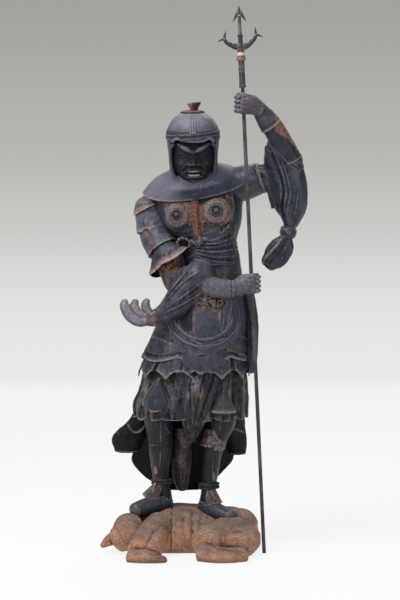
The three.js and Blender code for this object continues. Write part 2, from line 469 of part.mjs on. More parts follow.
// Three barbed prongs on a small socket. The side prongs curve out and up.
function trident() {
  const spread = TRIDENT_SPAN / TRIDENT_HEIGHT;
  const cup = SOCKET_FOOT + SOCKET_DEPTH + CLEARANCE; // top of the bore
  const at = (x, z, across, deep = across) => [x * spread, 0, z, across, deep];
  const rise = (share) => SOCKET_FOOT + share * TRIDENT.unit;
  const girth = (share) => share * TRIDENT.unit;
  const socket = turned([
    [0, SOCKET_FOOT], [BORE_RADIUS + 0.8 * SOCKET_WALL, SOCKET_FOOT],
    [BORE_RADIUS + SOCKET_WALL, cup], [girth(12), rise(9)], [girth(6), rise(17)], [girth(5), rise(31)],
    [girth(6.8), rise(34)], [girth(4.4), rise(38)], [girth(3.4), rise(78)], [0, rise(84)]], 10);
  const head = limb(TRIDENT, [at(0, 100, 0.5), at(0, 92, 3.4, 1.6), at(0, 80, 7, 2)], { sides: 6 });
  const barbs = both((side) =>
    limb(TRIDENT, [at(side * 2.5, 90, 1.4, 1), at(side * 7, 79, 2.6, 1.4), at(side * 15, 65, 0.4)],
      { sides: 5 }));
  // The left prong sits lower than the right one.
  const fork = (side) => 32 + 3 * side;
  const prongs = both((side) => [
    limb(TRIDENT, [
      at(side * 1, 10, 8), at(side * 12, 11, 6.6), at(side * 22, 16.5 + side, 5.2),
      at(side * 30, 23 + 2.6 * side, 4.4), at(side * 36, fork(side), 3.2)],
      { sides: 6 }),
    limb(TRIDENT, [at(side * 35, fork(side) - 2, 3.2), at(side * 34, fork(side) + 6, 2.7, 1.8),
      at(side * (32.2 + 1.4 * side), fork(side) + 18, 0.4)],
      { sides: 5 }),
    limb(TRIDENT, [at(side * 34, fork(side) + 1, 2.8), at(side * 42, fork(side) - 2, 2),
      at(side * 50, fork(side) - 5.5, 0.4)], { sides: 5 })]);
  const bore = shaftRoom(SOCKET_FOOT - SOCKET_DEPTH, cup);
  return carved(TRIDENT, [socket, head, barbs, prongs], 2.5 * SMOOTHING).subtract(bore);
}

// The petalled plate on the crown, with the broken stub of the ornament that it carried.
function finial() {
  const radius = FINIAL_DIAMETER / 2 / FIGURE_UNIT;
  const foot = CROWN_LEVEL + CLEARANCE / FIGURE_UNIT;
  const plate = limb(HEAD, [[2.2, -1.2, foot + 0.6, radius * 0.5, radius * 0.5],
    [2.2, -1.2, foot, radius, radius]],
    { sides: 16, level: true, swell: (angle) => 1 + 0.06 * Math.cos(8 * angle) });
  const stub = limb(HEAD, [
    [2.6, -1.2, foot + 0.3, 0.8, 0.8], [2.6, -1.2, foot + 0.9, 1.0, 0.9], [2.6, -1.2, foot + 2.3, 1.7, 1.4]],
    { sides: 8, level: true, ends: [0, -0.1] });
  return joined([plate, stub]);
}

function demon() {
  const body = limb(DEMON, [
    [16.4, -1.5, 4.2, 4.2, 5], [13.2, -0.6, 3.6, 6.2, 8.6], [8, 0.6, 3.2, 6.8, 10.4], [1, 1, 3.3, 7.2, 11],
    [-5, 0.6, 3.4, 7.1, 11], [-10, -0.4, 3.2, 6.4, 10.2], [-14, -1.8, 3.2, 4.6, 8]],
    { sides: 16, ends: [0.3, 0.3] });
  const head = limb(DEMON, [
    [-11.6, -6.2, 5.3, 4.5, 4.6], [-13.8, -7.2, 4.5, 4.9, 5.4], [-16.2, -8, 3.2, 3.2, 3.8]],
    { sides: 12, steps: 2, ends: [0.3, 0.5] });
  const ear = limb(DEMON, [[-15.6, -6.6, 4.4, 2.0, 1.8], [-18.6, -7, 2.8, 1.4, 1.3],
    [-20.4, -7.2, 1.5, 0.6, 0.7]],
    { sides: 7 });
  const upperArm = limb(DEMON, [
    [-6.2, -7.6, 6.8, 3.4, 3.6], [-8.8, -12.4, 4.8, 3.2, 3.6], [-11.2, -16.4, 2.2, 2.6, 3.0]],
    { ends: [0.4, 0.6] });
  const innerArm = limb(DEMON, [
    [-6.4, -9.4, 5.6, 2.6, 3.2], [-7.4, -13.4, 3.8, 2.6, 3.2], [-8.2, -16.4, 1.6, 2.8, 2.8]],
    { ends: [0.4, 0.5] });
  const forearm = limb(DEMON, [
    [-12.2, -18.2, 1.0, 2.0, 3.0], [-9, -19.4, 1.0, 1.9, 2.8],
    [-5.4, -19.2, 0.3, 1.1, 2.3]], { ends: [0.5, 0.4] });
  const haunch = limb(DEMON, [
    [13.6, -5, 4.0, 4.6, 5], [9.0, -10, 3.8, 4.9, 5.6], [5.4, -13.6, 3.4, 4.4, 4.6]],
    { sides: 12, ends: [0.4, 0.6] });
  const shin = limb(DEMON, [
    [4.8, -16.6, 1.4, 2.6, 3.8], [9, -18.4, 1.0, 2.2, 3.6], [13.6, -16.8, 1.0, 2.0, 3.4]],
    { ends: [0.5, 0.5] });
  const rump = limb(DEMON, [[11.8, -2.4, 7.6, 2.2, 3.4], [14.6, -3, 7.6, 2.4, 3.8],
    [16.2, -3.6, 5.8, 2.2, 4]],
    { sides: 8, ends: [0.4, 0.4] });
  const hind = limb(DEMON, [[8.6, -11.6, 3.4, 4.4, 4.8], [13, -11, 3.2, 4.2, 4.6],
    [15.0, -8.4, 3.5, 3.6, 4.4]],
    { ends: [0.5, 0.5] });
  const below = solid(new THREE.BoxGeometry(3 * DEMON_LENGTH, 3 * DEMON_LENGTH, DEMON_LENGTH)
    .translate(0, 0, -DEMON_LENGTH / 2));
  return carved(DEMON, [body, head, ear, upperArm, innerArm, forearm, haunch, shin, rump, hind])
    .subtract(below)
    .subtract(joined(shoes(CLEARANCE)))
    .subtract(shaftRoom(-1, SHAFT_LENGTH));
}

function guardian() {
  return carved(FIGURE, [helmet(), face(), trunk(), skirts(), hangings(), legs(), rightArm(), leftArm()])
    .add(joined(shoes()))
    .subtract(shaftRoom(0, SHAFT_LENGTH));
}

const finish = (color, roughness, metalness = 0) =>
  new THREE.MeshStandardMaterial({ color, roughness, metalness });
const darkPaint = finish(0x34363e, 0.7);
const redWood = finish(0x8a5a40, 0.8);
const lacquer = finish(0x3a3b3d, 0.5);
const iron = finish(0x55535a, 0.45, 0.7);
const gilt = finish(0xc9a58e, 0.4, 0.6);

function piece(name, made, material) {
  const mesh = made.asOriginal().simplify(WELD).getMesh();
  const geometry = new THREE.BufferGeometry();
  geometry.setAttribute("position", new THREE.Float32BufferAttribute(mesh.vertProperties, mesh.numProp));
  geometry.setIndex(new THREE.Uint32BufferAttribute(mesh.triVerts, 1));
  geometry.computeVertexNormals();
  const node = new THREE.Mesh(geometry, material);
  node.name = name;
  return node;
}

const group = new THREE.Group();
group.name = "lokapala_figure";
group.add(
  piece("demon_plinth", demon(), redWood),
  piece("guardian_figure", guardian(), darkPaint),
  piece("helmet_finial", finial(), redWood),
  piece("staff_shaft", shaft(), lacquer),
  piece("staff_sleeve", dressedSleeve(), lacquer),
  piece("staff_bead", bead(), gilt),
  piece("trident_head", trident(), iron),
);

export default group;
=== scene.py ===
"""A carved guardian king on a crouching demon, as worn painted wood. It repeats the part's own forms as
smooth numpy surfaces with their finer carving, joins them into closed pieces and paints them procedurally."""

import bpy
import numpy as np
from bpy.props import FloatProperty, FloatVectorProperty, PointerProperty
from bpy.types import Operator, Panel, PropertyGroup
from mathutils import Matrix, Vector


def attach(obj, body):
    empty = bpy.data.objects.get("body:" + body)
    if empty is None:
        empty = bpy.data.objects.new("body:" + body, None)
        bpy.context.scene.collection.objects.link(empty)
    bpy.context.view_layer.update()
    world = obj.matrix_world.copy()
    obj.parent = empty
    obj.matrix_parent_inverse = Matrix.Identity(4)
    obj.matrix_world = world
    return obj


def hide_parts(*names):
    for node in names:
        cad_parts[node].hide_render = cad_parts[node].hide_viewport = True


bl_info = {
    "name": "Lokapala figure",
    "version": (1, 0, 0),
    "blender": (4, 5, 0),
    "location": "3D View > Sidebar > Lokapala",
    "description": "Carves and paints a guardian king on a demon, with its trident staff",
    "category": "Add Mesh",
}

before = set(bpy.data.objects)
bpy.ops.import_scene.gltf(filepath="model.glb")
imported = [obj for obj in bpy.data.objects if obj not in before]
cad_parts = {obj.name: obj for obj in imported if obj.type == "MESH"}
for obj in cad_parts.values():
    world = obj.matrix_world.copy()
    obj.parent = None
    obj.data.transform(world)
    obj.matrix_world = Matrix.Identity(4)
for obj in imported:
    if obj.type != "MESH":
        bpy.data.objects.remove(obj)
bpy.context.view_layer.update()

# Masks that the carving carries in two colour attributes, for the paint to read. The pale mask is dusty haze
# and gesso and also painted highlight on tops and lit sides; the dark hollow mask is painted shade in
# hollows, creases and shaded places, with some grime.
PAINT = ("gilt", "rust", "bloom_and_highlight", "blue")
WEAR_AND_SHADE = ("worn", "line", "shade_and_grime", "edge")

# Places on the figure, in hundredths of its height above its soles.
NECK = (2.4, -0.5, 82.0)
COLLAR_MIDDLE = (2.7, -0.9, 81.9)
GRIP_LOW = (16.4, -9.2, 56.6)
GRIP_HIGH = (14.3, -9.7, 100.4)
HEAD_BOW, HEAD_LEAN = 9.0, -1.0  # degrees
COLLAR_DIP, COLLAR_RISE = 28.0, -9.0
CROWN_LEVEL = 99.0
DEMON_SHARES = 36  # the shares that the demon's length is counted in
SOLE_SHARE = 9.8  # how many of them its back stands above the floor under the soles


def a_length(name, description, default, **options):
    return FloatProperty(name=name, description=description, default=default, unit="LENGTH", **options)


class FigureSizes(PropertyGroup):
    """The sizes that a maker would change."""

    figure_height: a_length("Figure height", "From the soles to the helmet's crown", 0.98)
    demon_length: a_length("Demon length", "From head to rump", 0.355)
    shaft_diameter: a_length("Shaft diameter", "Of the staff", 0.009)
    shaft_reach: a_length("Shaft reach", "From the upper fist to the shaft's top", 0.132)
    sleeve_length: a_length("Sleeve length", "Of the dressed sleeve below the trident", 0.062)
    bead_height: a_length("Bead height", "Of the gilt bead below the trident", 0.023)
    trident_height: a_length("Trident height", "From its socket's foot to its tip", 0.107)
    trident_span: a_length("Trident span", "Between the outer barbs", 0.109)
    finial_diameter: a_length("Finial diameter", "Of the petalled plate on the helmet", 0.056)
    clearance: a_length("Clearance", "Between pieces that touch", 0.0003, precision=5)
    skin_step: a_length(
        "Skin step", "Distance between neighbouring points of a carved skin", 0.0029, min=0.001, max=0.01,
        precision=4)
    relief: FloatProperty(
        name="Relief", description="How deep the fine carving is, against the real one", default=1.0,
        min=0.0, max=2.0, subtype="FACTOR")
    wear: FloatProperty(
        name="Wear", description="How far the paint is rubbed off edges", default=0.55, min=0.0, max=1.0,
        subtype="FACTOR")


def colour(name, description, default):
    return FloatVectorProperty(
        name=name, description=description, default=default, size=3, min=0.0, max=1.0, subtype="COLOR")


class FigureColours(PropertyGroup):
    """The colours of the finishes, as linear light."""

    # Besides the black paint, this is the colour that the painted shade in hollows darkens to.
    black_paint: colour("Black paint", "The darkest paint, in hollows", (0.0045, 0.0045, 0.006))
    blue_paint: colour("Blue paint", "The blue-grey paint of armour and cloth", (0.040, 0.046, 0.072))
    # This pale colour is dusty haze and gesso, and also the painted highlight on tops and lit sides.
    bloom_and_highlight: colour("Bloom", "The pale dust and gesso on what faces up", (0.29, 0.27, 0.33))
    gilding: colour("Gilding", "The orange-tan of the rubbed gilt breastplates", (0.2, 0.102, 0.066))
    rust: colour("Rust red", "The red ground in linings", (0.28, 0.085, 0.04))
    pale_line: colour("Pale line", "Gesso and gold left along seams and hems", (0.40, 0.32, 0.28))
    worn_wood: colour("Worn wood", "Brown wood where paint is lost", (0.13, 0.088, 0.066))
    demon_wood: colour("Demon wood", "The demon's orange-brown wood", (0.36, 0.187, 0.112))
    demon_shade: colour("Demon shade", "The darker grain of that wood", (0.19, 0.1, 0.064))
    demon_bloom: colour("Demon bloom", "The grey bloom on its upper faces", (0.108, 0.084, 0.077))
    lacquer: colour("Lacquer", "The staff's dark lacquer", (0.012, 0.012, 0.014))
    gilt_copper: colour("Gilt copper", "The pinkish worn bead", (0.13, 0.09, 0.08))
    iron: colour("Iron", "The trident's dark metal", (0.027, 0.025, 0.034))


class StudioSettings(PropertyGroup):
    """The camera and the light."""

    camera_distance: a_length("Camera distance", "In front of the figure", 4.2)
    camera_height: a_length("Camera height", "Above the floor", 0.780)
    camera_side: a_length("Camera side", "To the figure's left of the origin", 0.03675)
    view_height: a_length("View height", "What the picture spans upwards at the origin", 1.47)
    horizon_drop: FloatProperty(
        name="Camera pitch", description="How far the camera looks down", default=0.04075, subtype="ANGLE")
    top_light: FloatProperty(
        name="Top light", description="Power of the lamp above", default=85.0, subtype="POWER")
    side_light: FloatProperty(
        name="Side light", description="Power of each side lamp", default=20.0, subtype="POWER")
    air_light: FloatProperty(name="Air light", description="Strength of the light all round", default=0.29)
    floor: colour("Floor", "The pale studio floor", (0.91, 0.91, 0.90))
    # The glowing backdrop fades upwards to this grey, as painted shade.
    backdrop: colour("Backdrop", "The grey that the backdrop darkens to", (0.37, 0.37, 0.35))


def sizes():
    return bpy.context.scene.lokapala_sizes


def colours():
    return bpy.context.scene.lokapala_colours


def studio():
    return bpy.context.scene.lokapala_studio


class Frame:
    """Where a body is drawn: the size of one share in metres, and the matrix that places it."""

    def __init__(self, unit, matrix):
        self.unit, self.matrix = unit, matrix

    def place(self, points):
        """Points of this frame, in metres, in the object's own frame."""
        matrix = np.array(self.matrix)
        return points @ matrix[:3, :3].T + matrix[:3, 3]


def tilted(unit, base, point, dip, lower):
    """The figure's frame moved to a point, its front dipped and its left side lowered, in degrees."""
    return (
        base @ Matrix.Translation(Vector(point) * unit) @ Matrix.Rotation(np.radians(dip), 4, "X")
        @ Matrix.Rotation(np.radians(lower), 4, "Y"))


def demon_frame():
    return Frame(sizes().demon_length / DEMON_SHARES, Matrix())


def figure_frame():
    sole_level = SOLE_SHARE * sizes().demon_length / DEMON_SHARES
    return Frame(sizes().figure_height / 100, Matrix.Translation((0, 0, sole_level)))


def head_frame():
    figure = figure_frame()
    bowed = tilted(figure.unit, figure.matrix, NECK, HEAD_BOW, HEAD_LEAN)
    return Frame(figure.unit, bowed @ Matrix.Translation(-Vector(NECK) * figure.unit))


def collar_frame():
    figure = figure_frame()
    return Frame(figure.unit, tilted(figure.unit, figure.matrix, COLLAR_MIDDLE, COLLAR_DIP, COLLAR_RISE))


def staff_frame():
    """z runs up the shaft from its foot on the floor, through both grips."""
    f = figure_frame()
    low, high = (f.matrix @ (Vector(grip) * f.unit) for grip in (GRIP_LOW, GRIP_HIGH))
    up = (high - low).normalized()
    foot_rise = sizes().shaft_diameter / 2 * np.hypot(up.x, up.y)
    foot = low + up * ((foot_rise - low.z) / up.z)
    turn = Vector((0, 0, 1)).rotation_difference(up).to_matrix().to_4x4()
    return Frame(1.0, Matrix.Translation(foot) @ turn)


def shaft_length():
    f, staff = figure_frame(), staff_frame()
    grip = f.matrix @ (Vector(GRIP_HIGH) * f.unit)
    return (grip - staff.matrix.translation).length + sizes().shaft_reach


SOCKET_DEPTH = 0.007  # how far the shaft goes up into the trident


def staff_levels():
    """The feet of the trident's socket, the bead and the sleeve, up the shaft."""
    s = sizes()
    socket = shaft_length() - SOCKET_DEPTH
    bead = socket - s.clearance - s.bead_height
    return socket, bead, bead - s.clearance - s.sleeve_length


# Shapes


def smooth_line(points, places):
    """A smooth curve through points, read at places from 0 to 1. Between two neighbours it is the cubic that
    leaves each point parallel to the line that joins the points on its two sides."""
    points = np.asarray(points, float)
    last = len(points) - 1
    run = np.clip(places, 0, 1) * last
    k = np.minimum(run.astype(int), last - 1)
    t = (run - k)[:, None]
    wide = np.vstack([2 * points[0] - points[1], points, 2 * points[-1] - points[-2]])
    before, here, there, after = (wide[k + i] for i in range(4))
    leave, arrive = (there - before) / 2, (after - here) / 2
    return (
        (2 * here - 2 * there + leave + arrive) * t**3 + (3 * there - 3 * here - 2 * leave - arrive) * t**2
        + leave * t + here)


def unit_vectors(v):
    return v / np.maximum(np.linalg.norm(v, axis=-1, keepdims=True), 1e-12)


def soft_step(low, high, x):
    """0 below low, 1 above high, and a smooth S between."""
    t = np.clip((x - low) / (high - low), 0, 1)
    return t * t * (3 - 2 * t)


def ripple(points, size, seed):
    """Slow bumps of about the given size, mostly between -1 and 1: a fifth of the sum of 14 waves in seeded
    directions, each cos(2 pi * distance / length + start), with lengths near the size."""
    rng = np.random.default_rng(seed)
    waves, height = 14, 5.0
    directions = (unit_vectors(rng.normal(size=(waves, 3))) * (2 * np.pi / size)
                  * rng.uniform(0.6, 1.5, (waves, 1)))
    return np.cos(points @ directions.T + rng.uniform(0, 2 * np.pi, waves)).sum(-1) / height


def bell(x, width):
    """1 where x is 0, falling off on both sides as exp(-(x / width)^2)."""
    return np.exp(-(x / width) ** 2)


def fold(angle):
    """A carved fold: 1 on a round ridge at 0, -1 in a sharp valley at half a turn."""
    return 2 * np.abs(np.cos(angle / 2)) - 1


class Skin:
    """A closed skin: its points in metres, its faces, and its masks at each point."""

    def __init__(self, points, faces, masks):
        self.points, self.faces, self.masks = points, faces, masks


class Spot:
    """What a carving function may read at each point: its angle round the body, how far along it is from 0
    to 1, its place, how far it has run from the near end and what is left to the far one, all three in
    shares, and how far it belongs to the front, from 0 to 1."""

    def __init__(self, angle, along, place, run, left, front):
        self.angle, self.along, self.run, self.left, self.front = angle, along, run, left, front
        self.x, self.y, self.z = place[..., 0], place[..., 1], place[..., 2]
        self.place = place

    def stroke(self, points, width, taper=0.0):
        """How near a point is to a smooth stroke drawn on the front view, through [x, z] points: 1 on it, and
        falling off as a bell of the given width. The taper narrows it towards its ends."""
        line = smooth_line(points, np.linspace(0, 1, 8 * (len(points) - 1) + 1))
        here = np.stack([self.x, self.z], -1)
        best = np.full(self.x.shape, 1e9)
        where = np.zeros(self.x.shape)
        for k in range(len(line) - 1):
            a, b = line[k], line[k + 1]
            t = np.clip(((here - a) @ (b - a)) / ((b - a) @ (b - a)), 0, 1)
            far = ((here - a - t[..., None] * (b - a)) ** 2).sum(-1)
            where = np.where(far < best, (k + t) / (len(line) - 1), where)
            best = np.minimum(best, far)
        thin = 1 - taper * np.abs(2 * where - 1) ** 2
        return np.exp(-best / np.maximum(width * thin, 1e-3) ** 2) * self.front * np.maximum(thin, 0.0)

    def folded(self, middle):
        """The same spot with its left half read as its right half, for what is the same on both sides."""
        twin = Spot(self.angle, self.along, self.place.copy(), self.run, self.left, self.front)
        twin.x = middle + np.abs(self.x - middle)
        return twin

    def inside(self, outline, ragged=0.0, grain=1.2):
        """1 inside an outline of [x, z] points on the front view and 0 outside, with a ragged edge."""
        x = self.x + ragged * ripple(self.place, grain, 5)
        z = self.z + ragged * ripple(self.place, grain, 6)
        hit = np.zeros(x.shape, bool)
        for (ax, az), (bx, bz) in zip(outline, outline[1:] + outline[:1]):
            crosses = (az > z) != (bz > z)
            hit ^= crosses & (x < ax + (bx - ax) * (z - az) / (bz - az + 1e-9))
        return hit * self.front

    def patch(self, x, z, wide, high):
        """How near a point is to a patch on the front view, as a bell of that half-width and half-height."""
        return np.exp(-((self.x - x) / wide) ** 2 - ((self.z - z) / high) ** 2) * self.front

    def bumps(self, size, seed, stretch=1.0):
        """The ripple at the point, in shares. A stretch below 1 makes its bumps longer upwards."""
        return ripple(self.place * [1, 1, stretch], size, seed)

    def mottle(self, size, seed, low=0.0, high=0.8, stretch=1.0):
        """Uneven patches of about the given size: the S of such bumps from low to high."""
        return soft_step(low, high, self.bumps(size, seed, stretch))

    def lines(self, paths, width, taper=0.3):
        """The sum of the strokes along several paths."""
        return sum(self.stroke(path, width, taper) for path in paths)

    def rim(self, away, width):
        """How near a point is to the ring so many shares before the body's far end, as a bell."""
        return bell(self.left - away, width)

    def turn(self, degrees, width):
        """How near a point is to the line along the body at one angle, as a bell that many degrees wide."""
        gap = (self.angle - np.radians(degrees) + np.pi) % (2 * np.pi) - np.pi
        return bell(gap, np.radians(width))


def end_rings(bulge, steps=5):
    """Scale and push of the rings that round off an end, from its pole outwards: the sine, and the bulge
    times the cosine, of angles up to a quarter turn. Without a bulge the end is flat."""
    if bulge <= 0.01:
        return [(0.0, bulge), (0.97, bulge), (0.99, 0.0)]
    turn = np.linspace(0, np.pi / 2, steps + 1)[:-1]
    return [(np.sin(t), bulge * np.cos(t)) for t in turn]


FEWEST_SIDES, MOST_SIDES, MOST_RINGS = 18, 420, 420
HEM_WALL = 0.22  # the wall that a hollowed end keeps, in shares
SMALL_LUMPS, LARGE_LUMPS = 0.013, 0.045  # sizes in metres of the knife's unevenness
MILLIMETRE = 0.001


def limb(
        space, rows, ends=(0, 0), swell=None, hem=None, level=False, facing=False, grow=0.0, carve=None,
        paint=None, trim=0.0, trim_width=0.14, hollow=0.0, fine=1.0, dense=0.0, rough=0.25):
    """A closed body: an oval section carried along a smooth line, in shares of its space. Each row is
    (x, y, z, across, deep): a point of the line and the section's half-widths in the front view and in depth.
    At an angle a the section's edge is across * cos(a) to the side and deep * sin(a) to the back.
      ends    how far its two ends bulge, as shares of the section there
      swell   a factor on the section from the spot, for folds
      hem     how far the far end reaches on, in shares, from the spot
      level   whether the sections lie level, for a body that runs downwards
      facing  whether the body runs towards the viewer, so that all of it counts as its front
      grow    how far the whole skin stands off, in metres
      carve   how far the skin is raised, in millimetres, from the spot
      paint   the masks, plain numbers or a function of the spot
      trim    how pale the line along the far end is, and trim_width how wide, in shares
      hollow  how far the far end is hollowed out, as a share of the body's length, its inside painted as
      shade
      fine    how much finer than the usual step its points are, and dense how much more so in front
      rough   how uneven the hand-carved skin is, in millimetres
    """
    unit = space.unit
    rows = np.asarray(rows, float)
    middle, half = rows[:, :3] * unit, rows[:, 3:] * unit + grow
    probe = smooth_line(middle, np.linspace(0, 1, 200))
    run_length = np.linalg.norm(np.diff(probe, axis=0), axis=1).sum()
    widest = half.max(0)
    girth = 2 * np.pi * np.sqrt((widest**2).mean())
    step = sizes().skin_step / fine * 1.0
    sides = int(np.clip(girth / step, FEWEST_SIDES, MOST_SIDES))
    rings = int(np.clip(run_length / step, 3, MOST_RINGS)) + 1
    along = np.linspace(0, 1, rings)
    first = end_rings(ends[0])
    last = end_rings(ends[1])[::-1]
    table = [(0.0, scale, -push) for scale, push in first] + [(a, 1.0, 0.0) for a in along]
    if hollow:
        wall = 1 - HEM_WALL / max(rows[-1, 3], 1.0)
        table += [(1.0, 0.5 + 0.5 * wall, 0.012), (1.0, wall, 0.0)]
        table += [(1 - hollow * t, wall, 0.0) for t in (0.12, 0.35, 0.65, 0.95)]
        table += [(1 - hollow, 0.8 * wall, 0.0), (1 - hollow, 0.0, 0.0)]
    else:
        table += [(1.0, scale, push) for scale, push in last]
    at, scale, push = (np.array(column)[:, None] for column in zip(*table))
    angle = np.linspace(0, 2 * np.pi, sides, endpoint=False)[None, :]
    angle = angle - dense * np.cos(angle)
    line = smooth_line(middle, at[:, 0])
    if level:
        tangent = np.tile((0.0, 0.0, -1.0), (len(at), 1))
    else:
        nudge = 0.002
        t = np.clip(at[:, 0], nudge, 1 - nudge)
        tangent = unit_vectors(smooth_line(middle, t + nudge) - smooth_line(middle, t - nudge))
    reference = np.array((0.0, 0.0, 1.0) if facing else (0.0, 1.0, 0.0))
    deep = unit_vectors(reference - tangent * (tangent @ reference)[:, None])
    across = np.cross(tangent, deep)
    size = smooth_line(half, at[:, 0])
    front = np.clip(-3 * np.sin(angle), 0, 1) if not facing else np.ones_like(angle)

    def spot(points):
        run = at * run_length / unit
        shape = points.shape[:2]
        return Spot(
            np.broadcast_to(angle, shape), np.broadcast_to(at, shape), points / unit,
            np.broadcast_to(run, shape), np.broadcast_to(run_length / unit - run, shape),
            np.broadcast_to(front, shape))

    def skin(factor, reach):
        wide = (size[:, 0:1] * factor * np.cos(angle))[..., None] * across[:, None, :]
        thick = (size[:, 1:2] * factor * np.sin(angle))[..., None] * deep[:, None, :]
        on = ((push * size.mean(1, keepdims=True) + reach + np.sign(push) * grow)[..., None]
              * tangent[:, None, :])
        return line[:, None, :] + wide + thick + on

    plain = spot(skin(scale * np.ones_like(angle), np.zeros((len(at), sides))))
    factor = scale * (swell(plain) if swell else 1.0)
    reach = np.zeros((len(at), sides))
    if hem:
        reach = hem(plain) * unit * np.minimum(scale * 1.2, 1) * np.clip(2 * at - 1, 0, 1) ** 2
    points = skin(factor * np.ones((1, sides)), reach)
    outer = np.array([1.0 if s == 1.0 else 0.0 for s in scale[:, 0]])
    if carve is not None or rough:
        here = spot(points)
        raised = rough * ripple(points / SMALL_LUMPS, 1.0, 3) + rough * ripple(points / LARGE_LUMPS, 1.0, 4)
        raised = (raised + (carve(here) if carve else 0)) * MILLIMETRE * sizes().relief
        round_ = np.roll(points, -1, 1) - np.roll(points, 1, 1)
        onward = np.gradient(points, axis=0)
        outward = unit_vectors(np.cross(round_, onward))
        toward = points - line[:, None, :]
        outward *= np.sign((outward * toward).sum(-1).mean())
        fade = np.ones((len(at), 1)) if not hollow else outer[:, None]
        points = points + outward * (raised * fade)[..., None]
    here = spot(points)
    masks = {name: np.zeros(points.shape[:2]) for name in PAINT + WEAR_AND_SHADE}
    given = paint(here) if callable(paint) else (paint or {})
    for name, value in given.items():
        masks[name] = np.clip(np.broadcast_to(value, points.shape[:2]).astype(float), 0, 1).copy()
    if trim:
        near = bell(here.left, trim_width) * trim
        masks["line"] = np.maximum(masks["line"], near * (scale >= 0.9))
    # The inside of a hollowed end is painted dark as shade, and loses its pale lines, pale haze and gilt.
    if hollow:
        inside = np.concatenate([np.zeros(len(first) + rings + 1), np.ones(len(at) - len(first) - rings - 1)])
        masks["shade_and_grime"] = np.maximum(masks["shade_and_grime"], inside[:, None])
        for name in ("line", "bloom_and_highlight", "gilt"):
            masks[name] = masks[name] * (1 - inside[:, None])
    return closed_grid(space, points, masks)


def facing_out(places, faces):
    """The faces, turned over if they point inwards. Their volume tells: each face is a fan of triangles from
    its first corner a, and a triangle a, b, c adds the product a . (b x c)."""
    volume = 0.0
    for corners in faces:
        first, *others = (places[corners[:, k]] for k in range(corners.shape[1]))
        for near, far in zip(others, others[1:]):
            volume += (first * np.cross(near, far)).sum()
    return faces if volume > 0 else [corners[:, ::-1] for corners in faces]


def closed_grid(space, points, masks):
    """A skin from a grid of rings. Its first and last rings are each one point, so the skin is closed."""
    count, sides = points.shape[:2]
    body = np.arange((count - 2) * sides).reshape(count - 2, sides)
    right = np.roll(body, -1, 1)
    quads = np.stack([body[:-1], right[:-1], right[1:], body[1:]], -1).reshape(-1, 4)
    top, foot = body.size, body.size + 1
    top_fan = np.stack([np.full(sides, top), right[0], body[0]], -1)
    foot_fan = np.stack([np.full(sides, foot), body[-1], right[-1]], -1)

    def flat(grid):
        return np.concatenate([
            grid[1:-1].reshape(-1, *grid.shape[2:]), [grid[0].mean(0)], [grid[-1].mean(0)]])

    places = space.place(flat(points))
    faces = facing_out(places, [quads, top_fan, foot_fan])
    return Skin(places, faces, {name: flat(mask) for name, mask in masks.items()})


def cord(space, points, radius, **options):
    """A thin raised line, such as a seam, border or thread: a limb of one round section along the points."""
    return limb(space, [(x, y, z, radius, radius) for x, y, z in points], **options)


def boss(space, place, radius, thickness, **options):
    """A flat round boss that faces the viewer: a short limb that narrows a little and bulges in front."""
    x, y, z = place
    rows = [(x, y + thickness, z, radius, radius), (x, y - thickness, z, radius * 0.86, radius * 0.86)]
    return limb(space, rows, facing=True, ends=(0, 0.12), **options)


def turned(space, profile, sides=64, masks=None, carve=None):
    """A turned piece: a profile of (radius, height) pairs in metres, from the axis back to the axis, spun
    round it. A hollow piece gives its bore as the first and last pair, off the axis."""
    profile = np.asarray(profile, float)
    angle = np.linspace(0, 2 * np.pi, sides, endpoint=False)
    radius = np.repeat(profile[:, :1], sides, 1)
    if carve is not None:
        radius = radius + carve(angle[None, :], profile[:, 1:]) * (radius > 0)
    points = np.stack(
        [radius * np.cos(angle), radius * np.sin(angle), np.repeat(profile[:, 1:], sides, 1)], -1)
    blank = {name: np.zeros(points.shape[:2]) for name in PAINT + WEAR_AND_SHADE}
    for name, value in (masks or {}).items():
        blank[name] = np.broadcast_to(value, points.shape[:2]).astype(float)
    if profile[0, 0] == 0:
        return closed_grid(space, points, blank)
    body = np.arange(points.shape[0] * sides).reshape(points.shape[0], sides)
    right, under, beyond = np.roll(body, -1, 1), np.roll(body, -1, 0), np.roll(np.roll(body, -1, 0), -1, 1)
    quads = np.stack([body, right, beyond, under], -1).reshape(-1, 4)
    places = space.place(points.reshape(-1, 3))
    return Skin(places, facing_out(places, [quads]), {name: mask.reshape(-1) for name, mask in blank.items()})


# Meshes


def mesh_object(name, skin):
    """The skin as a Blender object at the origin, with its masks as two colour attributes."""
    mesh = bpy.data.meshes.new(name)
    corners = np.concatenate([f.reshape(-1) for f in skin.faces]).astype(np.int32)
    counts = np.concatenate([np.full(len(f), f.shape[1]) for f in skin.faces])
    mesh.vertices.add(len(skin.points))
    mesh.vertices.foreach_set("co", skin.points.astype(np.float32).reshape(-1))
    mesh.loops.add(len(corners))
    mesh.loops.foreach_set("vertex_index", corners)
    mesh.polygons.add(len(counts))
    starts = np.concatenate([[0], np.cumsum(counts)[:-1]]).astype(np.int32)
    mesh.polygons.foreach_set("loop_start", starts)
    mesh.update(calc_edges=True)
    for attribute, names in (("paint", PAINT), ("wear", WEAR_AND_SHADE)):
        values = np.stack([skin.masks[n] for n in names], -1).astype(np.float32)
        mesh.attributes.new(attribute, "FLOAT_COLOR", "POINT").data.foreach_set("color", values.reshape(-1))
    piece = bpy.data.objects.new(name, mesh)
    bpy.context.scene.collection.objects.link(piece)
    return piece


